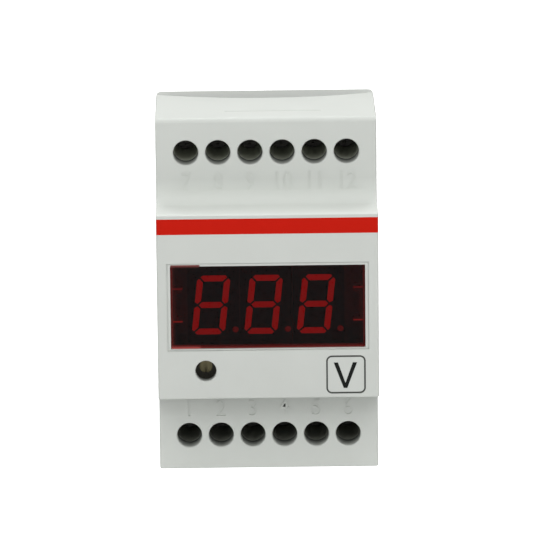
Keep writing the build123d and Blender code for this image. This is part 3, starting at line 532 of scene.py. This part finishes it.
def finish_core():
    """Stack of lacquered iron sheets, seen as fine lines across the stack."""
    made = Finish("core_iron", Metallic=0.6)
    x, y, z = made.axes()
    sheet = abs((z % (0.5 * MM)) / (0.5 * MM) - 0.5) * 2
    tarnish = made.noise(3 * MM, 4.0)
    edge = sheet.power(3.0)
    steel = made.mix(tarnish, (0.10, 0.10, 0.11), (0.19, 0.15, 0.12))
    made.set(BaseColor=made.mix(edge, steel, (0.035, 0.035, 0.04)), Roughness=0.42 + tarnish * 0.2)
    made.bump(1 - edge, 0.04 * MM)
    return made.material


def finish_winding():
    """Layers of enamelled copper wire, laid across the bobbin."""
    made = Finish("winding_copper", Metallic=0.85)
    x, y, z = made.axes()
    turn = abs((y % (0.32 * MM)) / (0.32 * MM) - 0.5) * 2
    ridge = (1 - turn * turn).power(0.5)
    tone = made.noise(1.5 * MM, 2.0, (0.2, 3, 0.2))
    copper = made.mix(tone, (0.42, 0.13, 0.04), (0.58, 0.21, 0.07))
    # Painted shade: the grooves between the turns are coloured dark
    made.set(BaseColor=made.mix(ridge, (0.09, 0.03, 0.015), copper), Roughness=0.28 + tone * 0.12)
    made.bump(ridge, 0.12 * MM)
    return made.material


def finish_can(node):
    """Sleeved capacitor: dark sleeve with a pale stripe, and a bare metal top."""
    low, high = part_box(node)
    centre = (low + high) / 2
    made = Finish(f"{node}_sleeve", CoatWeight=0.35)
    x, y, z = made.axes()
    top = (low.y - y).above(-0.25 * MM)
    stripe = abs(z - centre.z).below(1.1 * MM) * (centre.x - x).above(0)
    scuff = made.noise(0.8 * MM, 3.0)
    sleeve = made.mix(scuff, (0.010, 0.016, 0.060), (0.016, 0.024, 0.080))
    marked = made.mix(stripe, sleeve, (0.42, 0.45, 0.48))
    made.set(
        BaseColor=made.mix(top, marked, (0.66, 0.66, 0.65)),
        Metallic=top,
        Roughness=0.3 + scuff * 0.15,
    )
    made.bump(scuff, 0.01 * MM)
    return made.material


def finish_by_place(name, plastic, is_lead):
    """Black plastic with tinned metal leads wherever the given function of the place is 1."""
    made = Finish(name)
    x, y, z = made.axes()
    lead = is_lead(x, y, z)
    grain = made.noise(0.22 * MM, 2.0)
    body = made.mix(grain, plastic, tuple(c * 1.5 for c in plastic))
    made.set(
        BaseColor=made.mix(lead, body, (0.70, 0.69, 0.66)),
        Metallic=lead,
        Roughness=0.55 - lead * 0.25 + grain * 0.12,
    )
    made.bump(grain, 0.008 * MM)
    return made.material


def put_on(material, *names):
    """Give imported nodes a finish."""
    for name in names:
        slots = nodes[name].data.materials
        slots.clear()
        slots.append(material)


def numbered(kind):
    """Names of the twelve nodes of one kind."""
    return [f"{kind}_{number}" for number in range(1, 2 * TERMINAL_COUNT + 1)]


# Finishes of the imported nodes
HOUSING_GREY = (0.590, 0.612, 0.580)
# The base gets a lighter copy of the housing's grey: painted light for its rim seen behind the hood
BASE_GREY_PAINTED_LIGHTER = (0.660, 0.680, 0.650)
put_on(finish_moulding("housing_grey", BASE_GREY_PAINTED_LIGHTER, 0.5), "base_housing")
cover_grey = finish_cover("cover_grey", HOUSING_GREY, 0.5)
put_on(cover_grey, "front_cover")
put_on(finish_window(), "display_filter")
stripe = finish_moulding("stripe_red", (0.540, 0.0125, 0.0055), 0.45, 0.5 * MM, 0.003 * MM, 0.05, 0.03)
put_on(stripe, "red_stripe")
DIGITS = ("digit_left", "digit_middle", "digit_right")
put_on(finish_module(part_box("digit_left")[0].y), *DIGITS)
for segments in ("segments_left", "segments_middle", "segments_right"):
    put_on(finish_segments(segments), segments)
put_on(finish_moulding("trimmer_case", (0.060, 0.058, 0.046), 0.5, 0.2 * MM), "trimmer_body")
put_on(finish_metal("rotor_brass", (0.20, 0.18, 0.105), 0.45, (1, 1, 6)), "trimmer_rotor")
put_on(finish_board(), "display_board", "main_board")
zinc = finish_metal("screw_zinc", (0.60, 0.60, 0.58), 0.26, (6, 1, 1))
put_on(zinc, "board_screws")
# The terminal screws get a dark copy of the zinc's grey: painted shade for screws deep in their holes
shade_darkened = finish_metal("screw_burnished", (0.16, 0.155, 0.145), 0.4, (6, 1, 1))
put_on(shade_darkened, *numbered("terminal_screw"))
put_on(finish_block(), "upper_terminal_block", "lower_terminal_block")
put_on(finish_metal("contact_tin", (0.70, 0.68, 0.62), 0.30, (1, 1, 5)), "upper_contacts", "lower_contacts")
cage_zinc = finish_metal("cage_zinc", (0.64, 0.62, 0.55), 0.34, (1, 5, 1))
put_on(cage_zinc, *numbered("cage_clamp"))
clip_grey = finish_moulding("clip_grey", (0.17, 0.17, 0.165), 0.44)
put_on(clip_grey, "rail_clip")
spring_steel = finish_metal("spring_steel", (0.52, 0.52, 0.50), 0.24, (1, 1, 8))
put_on(spring_steel, "clip_spring")
put_on(finish_core(), "transformer_core")
put_on(finish_moulding("bobbin_white", (0.60, 0.58, 0.52), 0.48), "transformer_bobbin")
put_on(finish_winding(), "transformer_winding")
for can in ("supply_capacitor", "filter_capacitor"):
    put_on(finish_can(can), can)
chip_low, chip_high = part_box("converter_chip")
chip_middle = (chip_low + chip_high) / 2
chip_body = (chip_high.x - chip_low.x) / 2 - LEAD_REACH
rectifier_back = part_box("bridge_rectifier")[1].y
comb_low, comb_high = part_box("link_comb")


def chip_leads(x, y, z):
    """Rows of leads on the four sides of the chip."""
    aside = abs(x - chip_middle.x).above(chip_body)
    return (aside + abs(z - chip_middle.z).above(chip_body)).clamped()


def rectifier_leads(x, y, z):
    """Leads behind the rectifier's body."""
    return (y - rectifier_back).above(-0.6 * MM)


def comb_leads(x, y, z):
    """Pins along the middle of the comb."""
    in_row = abs(z - (comb_low.z + comb_high.z) / 2).below(0.33 * MM)
    return in_row * abs(y - (comb_low.y + comb_high.y) / 2).below(15 * MM)


put_on(finish_by_place("chip_black", (0.016, 0.016, 0.017), chip_leads), "converter_chip")
put_on(finish_by_place("rectifier_black", (0.020, 0.020, 0.022), rectifier_leads), "bridge_rectifier")
put_on(finish_by_place("comb_black", (0.022, 0.022, 0.022), comb_leads), "link_comb")


def mesh_object(name, mesh, material):
    """A new object at the origin that holds a finished mesh."""
    made = bpy.data.objects.new(name, mesh)
    bpy.context.scene.collection.objects.link(made)
    mesh.materials.clear()
    mesh.materials.append(material)
    return made


def evaluated_mesh(piece):
    """A copy of an object's mesh with its modifiers applied."""
    bpy.context.view_layer.update()
    return bpy.data.meshes.new_from_object(piece.evaluated_get(bpy.context.evaluated_depsgraph_get()))


def finished_mesh(name, work):
    """Turn what has been worked on into a mesh whose faces point outwards."""
    bmesh.ops.recalc_face_normals(work, faces=work.faces)
    mesh = bpy.data.meshes.new(name)
    work.to_mesh(mesh)
    work.free()
    return mesh


def spread(count, pitch):
    """Places of a row of equal things, evenly about the middle."""
    return [(index - (count - 1) / 2) * pitch for index in range(count)]


def extruded_text(words, height, narrowing, centre, depth, boldness):
    """Characters of a given height standing on a plane that faces the front, as a closed mesh."""
    curve = bpy.data.curves.new("words", "FONT")
    curve.body = words
    curve.align_x = "CENTER"
    curve.size = 1.0
    curve.offset = boldness
    curve.extrude = 0.5
    curve.resolution_u = 5
    carrier = bpy.data.objects.new("words", curve)
    bpy.context.scene.collection.objects.link(carrier)
    mesh = evaluated_mesh(carrier)
    bpy.data.objects.remove(carrier)
    tops = [vertex.co.y for vertex in mesh.vertices]
    scale = height / (max(tops) - min(tops))
    middle = (max(tops) + min(tops)) / 2
    stand = Matrix.Translation(centre) @ Matrix.Rotation(pi / 2, 4, "X")
    size = Matrix.Diagonal((scale * narrowing, scale, depth, 1))
    mesh.transform(stand @ size @ Matrix.Translation((0, -middle, 0)))
    return mesh


def welded(mesh):
    """Join the loose triangles of a mesh at their shared points."""
    work = bmesh.new()
    work.from_mesh(mesh)
    bmesh.ops.remove_doubles(work, verts=work.verts, dist=WELD_DISTANCE)
    bmesh.ops.dissolve_degenerate(work, edges=work.edges, dist=SLIVER_LENGTH)
    work.to_mesh(mesh)
    work.free()
    return mesh


def closed(mesh):
    """Fill the open holes that a cut left in a mesh."""
    work = bmesh.new()
    work.from_mesh(mesh)
    bmesh.ops.holes_fill(work, edges=work.edges, sides=0)
    bmesh.ops.recalc_face_normals(work, faces=work.faces)
    work.to_mesh(mesh)
    work.free()
    return mesh


def smooth_by_angle(mesh, angle):
    """Shade a mesh smooth, but keep the edges sharp that turn by more than an angle."""
    work = bmesh.new()
    work.from_mesh(mesh)
    for face in work.faces:
        face.smooth = True
    for edge in work.edges:
        edge.smooth = len(edge.link_faces) == 2 and edge.calc_face_angle(pi) < angle
    work.to_mesh(mesh)
    work.free()


def rectangle_corners(width, height):
    """Corners of a rectangle round the middle of the nose."""
    return [(x * width / 2, z * height / 2) for x, z in ((1, 1), (-1, 1), (-1, -1), (1, -1))]


def ring_mesh(outer, inner, front, back):
    """Closed ring between two outlines with the same number of points, from one depth to another."""
    work = bmesh.new()
    loops = [
        [work.verts.new((x, y, z)) for x, z in outline]
        for outline, y in ((outer, front), (inner, front), (inner, back), (outer, back))
    ]
    for loop, following in zip(loops, loops[1:] + loops[:1]):
        for index in range(len(loop)):
            ahead = (index + 1) % len(loop)
            work.faces.new((loop[index], loop[ahead], following[ahead], following[index]))
    return finished_mesh("ring", work)


# Front cover with the terminal numbers and the frame's fine line cut into it
carving = bmesh.new()
for row_z, first in ((LOWER_NUMERAL_Z, 1), (UPPER_NUMERAL_Z, TERMINAL_COUNT + 1)):
    for index, across in enumerate(spread(TERMINAL_COUNT, TERMINAL_PITCH)):
        spot = Vector((across, SHOULDER_FRONT, row_z))
        carving.from_mesh(extruded_text(
            str(first + index), NUMERAL_HEIGHT, NUMERAL_NARROWING, spot, 2 * NUMERAL_DEPTH, NUMERAL_BOLDNESS
        ))
frame_outer = rectangle_corners(FRAME_WIDTH + FRAME_LINE, FRAME_HEIGHT + FRAME_LINE)
frame_inner = rectangle_corners(FRAME_WIDTH - FRAME_LINE, FRAME_HEIGHT - FRAME_LINE)
carving.from_mesh(ring_mesh(frame_outer, frame_inner, NOSE_FRONT - FRAME_LINE, NOSE_FRONT + FRAME_LINE_DEPTH))
carving_mesh = bpy.data.meshes.new("carving")
carving.to_mesh(carving_mesh)
carving.free()
cutter = mesh_object("carving", welded(carving_mesh), cover_grey)
cover = mesh_object("carved_cover", welded(nodes["front_cover"].data.copy()), cover_grey)
cut = cover.modifiers.new("numbers", "BOOLEAN")
cut.object = cutter
cut.operation = "DIFFERENCE"
cut.solver = "EXACT"
carved = closed(evaluated_mesh(cover))
cover.modifiers.clear()
cover.data = carved
for vertex in carved.vertices:
    place = vertex.co
    in_line = abs(place.x - MARK_LINE_X) < MARK_LINE_HALF and abs(place.y - MARK_LINE_Y) < MARK_LINE_NEAR
    if in_line and HOOD_TOP - MARK_LINE_CUT < place.z < HOOD_TOP - MARK_LINE_DEPTH:
        place.z = HOOD_TOP - MARK_LINE_DEPTH
bpy.data.objects.remove(cutter)
smooth_by_angle(cover.data, SHARP_ANGLE)
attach(cover, "housing")
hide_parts("front_cover")


def swept_strip(profile, reach):
    """Closed strip with one cross-section, given as depth and height, from side to side of the nose."""
    work = bmesh.new()
    ends = [[work.verts.new((x, y, z)) for y, z in profile] for x in (-reach, reach)]
    for index in range(len(profile)):
        ahead = (index + 1) % len(profile)
        work.faces.new((ends[0][index], ends[0][ahead], ends[1][ahead], ends[1][index]))
    for end in ends:
        work.faces.new(end)
    return finished_mesh("strip", work)


# Hollow corner between the upper shoulder and the top of the nose
cove_arc = [radians(90 * step / COVE_STEPS) for step in range(COVE_STEPS + 1)]
cove_profile = [
    (SHOULDER_FRONT - COVE_RADIUS * (1 - sin(angle)), NOSE_TOP + COVE_RADIUS * (1 - cos(angle)))
    for angle in cove_arc
]
cove_root = [
    (SHOULDER_FRONT + COVE_SEAT, NOSE_TOP + COVE_RADIUS),
    (SHOULDER_FRONT + COVE_SEAT, NOSE_TOP - COVE_SEAT),
    (SHOULDER_FRONT - COVE_RADIUS, NOSE_TOP - COVE_SEAT),
]
cove = mesh_object("shoulder_cove", swept_strip(cove_profile + cove_root, COVE_REACH), cover_grey)
smooth_by_angle(cove.data, SHARP_ANGLE)
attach(cove, "housing")


def axis_to_front(spot):
    """Placing of something made along the upright axis so that it points to the back from a spot."""
    return Matrix.Translation(spot) @ Matrix.Rotation(-pi / 2, 4, "X")


# Terminal screws: the plain shank drawn in to the thread's core, and a helical ridge round it
for number in range(1, 2 * TERMINAL_COUNT + 1):
    screw = f"terminal_screw_{number}"
    low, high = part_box(screw)
    shank = Vector(((low.x + high.x) / 2, low.y + SCREW_HEAD_HEIGHT, (low.z + high.z) / 2))
    length = high.y - shank.y
    turned = Growth(f"{screw}_thread", {
        "crest radius": SCREW_CREST, "core radius": SCREW_CORE, "pitch": SCREW_PITCH, "length": length,
    })
    crest, core = turned.size("crest radius"), turned.size("core radius")
    place = turned.add("GeometryNodeInputPosition").outputs[0]
    x, y, z = (Value(turned, part) for part in turned.add("ShaderNodeSeparateXYZ", None, {0: place}).outputs)
    aside, above = x - shank.x, z - shank.z
    in_shank = (aside * aside + above * above).below(crest * crest * 1.05) * y.above(shank.y - 0.01 * MM)
    drawn_in = turned.add(
        "ShaderNodeCombineXYZ", None, {0: aside * (core / crest - 1), 1: 0.0, 2: above * (core / crest - 1)}
    )
    blank = turned.add("GeometryNodeSetPosition", None, {
        "Geometry": turned.given[0], "Selection": in_shank, "Offset": drawn_in.outputs[0],
    })
    turns = (turned.size("length") - 2 * THREAD_RUNOUT * turned.size("pitch")) / turned.size("pitch")
    helix = turned.add("GeometryNodeCurveSpiral", None, {
        "Resolution": 20, "Rotations": turns, "Start Radius": core, "End Radius": core,
        "Height": turns * turned.size("pitch"),
    })
    upright = turned.add("GeometryNodeSetCurveNormal", {"mode": "Z_UP"}, {"Curve": helix.outputs[0]})
    ridge = turned.tube(upright.outputs[0], crest - core, 4)
    thread_start = shank + Vector((0, THREAD_RUNOUT * SCREW_PITCH, 0))
    laid = turned.add("GeometryNodeTransform", None, {
        "Geometry": ridge, "Translation": thread_start, "Rotation": (-pi / 2, 0, 0),
    })
    both = turned.add("GeometryNodeJoinGeometry", None, {0: blank.outputs[0]})
    turned.tree.links.new(laid.outputs[0], both.inputs[0])
    piece = turned.grow(f"{screw}_threaded", nodes[screw].data.copy(), both.outputs[0], shade_darkened)
    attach(piece, f"screw_{number}")
    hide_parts(screw)

# Coil spring behind the rail clip
spring_low, spring_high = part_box("clip_spring")
wire = SPRING_WIRE / 2
wound = Growth("spring_coil", {
    "turns": SPRING_TURNS, "wire radius": wire, "coil radius": (spring_high.x - spring_low.x) / 2 - wire,
    "length": spring_high.z - spring_low.z - 2 * wire,
})
coil_radius = wound.size("coil radius")
helix = wound.add("GeometryNodeCurveSpiral", None, {
    "Resolution": 32, "Rotations": wound.size("turns"), "Height": wound.size("length"),
    "Start Radius": coil_radius, "End Radius": coil_radius,
})
spring_x = (spring_low.x + spring_high.x) / 2
spring_y = (spring_low.y + spring_high.y) / 2
spring = wound.grow(
    "coil_spring",
    bpy.data.meshes.new("coil_spring"),
    wound.tube(helix.outputs[0], wound.size("wire radius"), 12),
    spring_steel,
    Matrix.Translation((spring_x, spring_y, spring_low.z + wire)),
)
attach(spring, "housing")
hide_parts("clip_spring")
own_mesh(spring)

# Outer layer of the transformer's winding: one round wire beside the other
winding_low, winding_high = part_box("transformer_winding")
layer = Growth("winding_layer", {
    "wire radius": WINDING_WIRE / 2,
    "width": winding_high.x - winding_low.x,
    "height": winding_high.z - winding_low.z,
    "corner": WINDING_CORNER,
    "turns": int((winding_high.y - winding_low.y) / WINDING_WIRE),
})
loop = layer.add("GeometryNodeCurvePrimitiveQuadrilateral", {"mode": "RECTANGLE"}, {
    "Width": layer.size("width"), "Height": layer.size("height"),
})
bent = layer.add("GeometryNodeFilletCurve", {"mode": "POLY"}, {
    "Curve": loop.outputs[0], "Count": 5, "Radius": layer.size("corner"), "Limit Radius": True,
})
row = layer.add("GeometryNodeMeshLine", {"mode": "OFFSET"}, {
    "Count": layer.size("turns"),
    "Offset": layer.add("ShaderNodeCombineXYZ", None, {2: layer.size("wire radius") * 2}).outputs[0],
})
turn_wire = layer.tube(bent.outputs[0], layer.size("wire radius"), 8)
laid = layer.add("GeometryNodeInstanceOnPoints", None, {"Points": row.outputs[0], "Instance": turn_wire})
winding_middle = (winding_low + winding_high) / 2
turns_piece = layer.grow(
    "winding_turns",
    bpy.data.meshes.new("winding_turns"),
    laid.outputs[0],
    finish_metal("wire_copper", (0.58, 0.20, 0.065), 0.24, (1, 4, 1)),
    axis_to_front((winding_middle.x, winding_low.y + WINDING_WIRE / 2, winding_middle.z)),
)
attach(turns_piece, "housing")


def spots_mesh(spots):
    """A mesh of loose points."""
    mesh = bpy.data.meshes.new("spots")
    mesh.from_pydata(spots, [], [])
    return mesh


def solder_joints(name, spots):
    """Small cones of solder round the pins' ends, on the rear side of a board."""
    joints = Growth(name, {"foot radius": SOLDER_FOOT, "tip radius": SOLDER_TIP, "height": SOLDER_HEIGHT})
    cone = joints.add("GeometryNodeMeshCone", None, {
        "Vertices": 16, "Radius Top": joints.size("tip radius"), "Radius Bottom": joints.size("foot radius"),
        "Depth": joints.size("height"),
    })
    laid = joints.add("GeometryNodeInstanceOnPoints", None, {
        "Points": joints.given[0], "Instance": cone.outputs[0], "Rotation": (-pi / 2, 0, 0),
    })
    piece = joints.grow(name, spots_mesh(spots), laid.outputs[0], solder)
    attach(piece, "housing")


# Solder joints of both boards, at the pins of the contacts, the bobbin, the comb and the display modules
solder = finish_metal("solder_tin", (0.60, 0.60, 0.60), 0.2)
main_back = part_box("main_board")[1].y
display_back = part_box("display_board")[1].y
contact_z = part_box("upper_contacts")[0].z + CONTACT_THICKNESS / 2
comb_z = (comb_low.z + comb_high.z) / 2
pin_spots = [
    (across, main_back, side * contact_z)
    for across in spread(TERMINAL_COUNT, TERMINAL_PITCH) for side in (-1, 1)
]
pin_spots += [(side * BOBBIN_PIN_X, main_back, rise * BOBBIN_PIN_Z) for side in (-1, 1) for rise in (-1, 1)]
pin_spots += [(across, main_back, comb_z) for across in spread(COMB_PINS, PIN_PITCH)]
solder_joints("main_board_solder", pin_spots)
digit_spots = []
for digit in DIGITS:
    digit_low, digit_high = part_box(digit)
    digit_spots += [
        ((digit_low.x + digit_high.x) / 2 + across, display_back, side * DIGIT_PIN_Z)
        for across in spread(DIGIT_PINS, PIN_PITCH) for side in (-1, 1)
    ]
solder_joints("display_board_solder", digit_spots)


def rounded_outline(width, height, radius, steps=10):
    """Points round a rectangle with rounded corners, in the plane of the front."""
    points = []
    for corner_x, corner_z, start in ((1, 1, 0), (-1, 1, 90), (-1, -1, 180), (1, -1, 270)):
        for step in range(steps + 1):
            turn = radians(start + 90 * step / steps)
            points.append((
                corner_x * (width / 2 - radius) + radius * cos(turn),
                corner_z * (height / 2 - radius) + radius * sin(turn),
            ))
    return points


def ink_mesh(name, outlines, faces):
    """Thin printed layer on the nose: flat faces between outlines, with a closed rim."""
    work = bmesh.new()
    front = [work.verts.new((x, NOSE_FRONT - INK_THICKNESS, z)) for x, z in outlines]
    for face in faces:
        work.faces.new([front[index] for index in face])
    grown = bmesh.ops.extrude_face_region(work, geom=list(work.faces))
    moved = [item for item in grown["geom"] if isinstance(item, bmesh.types.BMVert)]
    bmesh.ops.translate(work, verts=moved, vec=(0, INK_THICKNESS, 0))
    return finished_mesh(name, work)


def finish_ink(name, colour):
    """Printing ink, a little uneven in cover."""
    made = Finish(name, SpecularIORLevel=0.05)
    cover_tone = made.noise(0.5 * MM, 3.0)
    made.set(
        BaseColor=made.mix(cover_tone, colour, tuple(c * 1.35 + 0.004 for c in colour)),
        Roughness=0.6 + cover_tone * 0.1,
    )
    made.bump(cover_tone, 0.004 * MM)
    return made.material


# Unit sign: a rounded frame with the letter of the unit in it
outer = [(SIGN_X + x, SIGN_Z + z) for x, z in rounded_outline(SIGN_WIDTH, SIGN_HEIGHT, SIGN_CORNER)]
inner = [
    (SIGN_X + x, SIGN_Z + z)
    for x, z in rounded_outline(
        SIGN_WIDTH - 2 * SIGN_LINE, SIGN_HEIGHT - 2 * SIGN_LINE, SIGN_CORNER - SIGN_LINE
    )
]
count = len(outer)
ring = [(i, (i + 1) % count, count + (i + 1) % count, count + i) for i in range(count)]
sign_frame = mesh_object(
    "sign_frame", ink_mesh("sign_frame", outer + inner, ring), finish_ink("sign_grey", (0.060, 0.063, 0.058))
)
foot = LETTER_STROKE * LETTER_POINT
top_z = LETTER_Z + LETTER_HEIGHT / 2
low_z = LETTER_Z - LETTER_HEIGHT / 2
letter = [
    (LETTER_X - LETTER_WIDTH / 2, top_z),
    (LETTER_X - LETTER_WIDTH / 2 + LETTER_STROKE, top_z),
    (LETTER_X, low_z + LETTER_NOTCH * LETTER_STROKE),
    (LETTER_X + LETTER_WIDTH / 2 - LETTER_STROKE, top_z),
    (LETTER_X + LETTER_WIDTH / 2, top_z),
    (LETTER_X + foot, low_z),
    (LETTER_X - foot, low_z),
]
sign_letter = mesh_object(
    "sign_letter",
    ink_mesh("sign_letter", letter, [(0, 1, 2, 6), (2, 3, 4, 5), (2, 5, 6)]),
    finish_ink("sign_black", (0.008, 0.009, 0.008)),
)
for sign in (sign_frame, sign_letter):
    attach(sign, "housing")

# Floor that carries the object's shadow and reads as white
floor_mesh = bpy.data.meshes.new("floor")
floor_corners = [(x * FLOOR_REACH, y * FLOOR_REACH, FLOOR) for x, y in ((-1, -1), (1, -1), (1, 1), (-1, 1))]
floor_mesh.from_pydata(floor_corners, [], [(0, 1, 2, 3)])
pale = Finish("floor_pale", Roughness=0.8)
tone = pale.noise(0.4, 2.0)
pale.set(BaseColor=pale.mix(tone, (0.80, 0.80, 0.80), (0.82, 0.82, 0.82)))
paths = pale.add("ShaderNodeLightPath")
seen = (
    Value(pale, paths.outputs["Is Camera Ray"])
    + Value(pale, paths.outputs["Is Glossy Ray"])
    + Value(pale, paths.outputs["Is Transmission Ray"])
).clamped()
glow = pale.add("ShaderNodeEmission", None, {"Color": (1, 1, 1, 1), "Strength": FLOOR_GLOW})
lifted = pale.add("ShaderNodeAddShader", None, {0: pale.surface.outputs[0], 1: glow.outputs[0]})
floor_mix = pale.add("ShaderNodeMixShader", None, {0: seen, 1: pale.surface.outputs[0], 2: lifted.outputs[0]})
pale.show(floor_mix.outputs[0])
floor = mesh_object("floor", floor_mesh, pale.material)

# World: white to the camera, a soft even light to the object
world = bpy.data.worlds.new("studio")
bpy.context.scene.world = world
world.use_nodes = True
sky = world.node_tree.nodes
links = world.node_tree.links
background = sky["Background"]
background.inputs["Color"].default_value = (1, 1, 1, 1)
background.inputs["Strength"].default_value = WORLD_STRENGTH
white = sky.new("ShaderNodeBackground")
white.inputs["Strength"].default_value = 1.0
rays = sky.new("ShaderNodeLightPath")
sky_mix = sky.new("ShaderNodeMixShader")
links.new(rays.outputs["Is Camera Ray"], sky_mix.inputs[0])
links.new(background.outputs[0], sky_mix.inputs[1])
links.new(white.outputs[0], sky_mix.inputs[2])
links.new(sky_mix.outputs[0], sky["World Output"].inputs["Surface"])


def softbox(name, place, target, width, height, power):
    """A rectangular lamp at a place, turned to face a point."""
    lamp = bpy.data.lights.new(name, "AREA")
    lamp.shape = "RECTANGLE"
    lamp.size = width
    lamp.size_y = height
    lamp.energy = power
    holder = bpy.data.objects.new(name, lamp)
    bpy.context.scene.collection.objects.link(holder)
    direction = Vector(target) - Vector(place)
    facing = direction.to_track_quat("-Z", "Y").to_matrix().to_4x4()
    holder.matrix_world = Matrix.Translation(place) @ facing
    return holder


softbox("overhead", (0.0, 0.1, 1.25), (0, 0, 0), 1.2, 0.9, 9.0)
softbox("rear", (0.0, 0.7, 0.9), (0, 0, 0), 1.2, 0.8, 9.4)
softbox("high_front", (0.0, -1.0, 1.0), (0, 0, 0), 1.2, 0.8, 8.6)
softbox("level_front", (0.0, -1.5, 0.38), (0, 0, 0), 1.0, 0.4, 1.5)
softbox("left", (-1.1, -1.05, 0.5), (0, 0, 0), 0.8, 0.8, 3.8)
softbox("right", (1.1, -1.05, 0.5), (0, 0, 0), 0.8, 0.8, 3.0)

# Light that a bright table throws up at the foot of the front
foot_y = SHOULDER_FRONT - FOOT_CARD_DEPTH / 2
foot_place = (0, foot_y, FLOOR + FOOT_CARD_LIFT)
card = softbox("foot_card", foot_place, (0, foot_y, 1.0), FOOT_CARD_WIDTH, FOOT_CARD_DEPTH, FOOT_CARD_POWER)
card.visible_camera = False

# Camera at the photograph's viewing angle
turn = (
    Matrix.Rotation(CAMERA_ROLL, 3, "Y")
    @ Matrix.Rotation(CAMERA_PITCH, 3, "X")
    @ Matrix.Rotation(CAMERA_YAW, 3, "Z")
)
right, forward, up = turn
eye = turn.transposed() @ Vector((-CAMERA_SHIFT_X, -CAMERA_DISTANCE, -CAMERA_SHIFT_Z))
eye += Vector((0, NOSE_FRONT, 0))
camera = bpy.data.objects.new("camera", bpy.data.cameras.new("camera"))
bpy.context.scene.collection.objects.link(camera)
camera.data.lens = CAMERA_LENS
camera.data.sensor_width = 36.0
aim = Matrix((right, up, -forward)).transposed()
camera.matrix_world = Matrix.Translation(eye) @ aim.to_4x4()
bpy.context.scene.camera = camera
bpy.context.scene.view_settings.view_transform = "Standard"
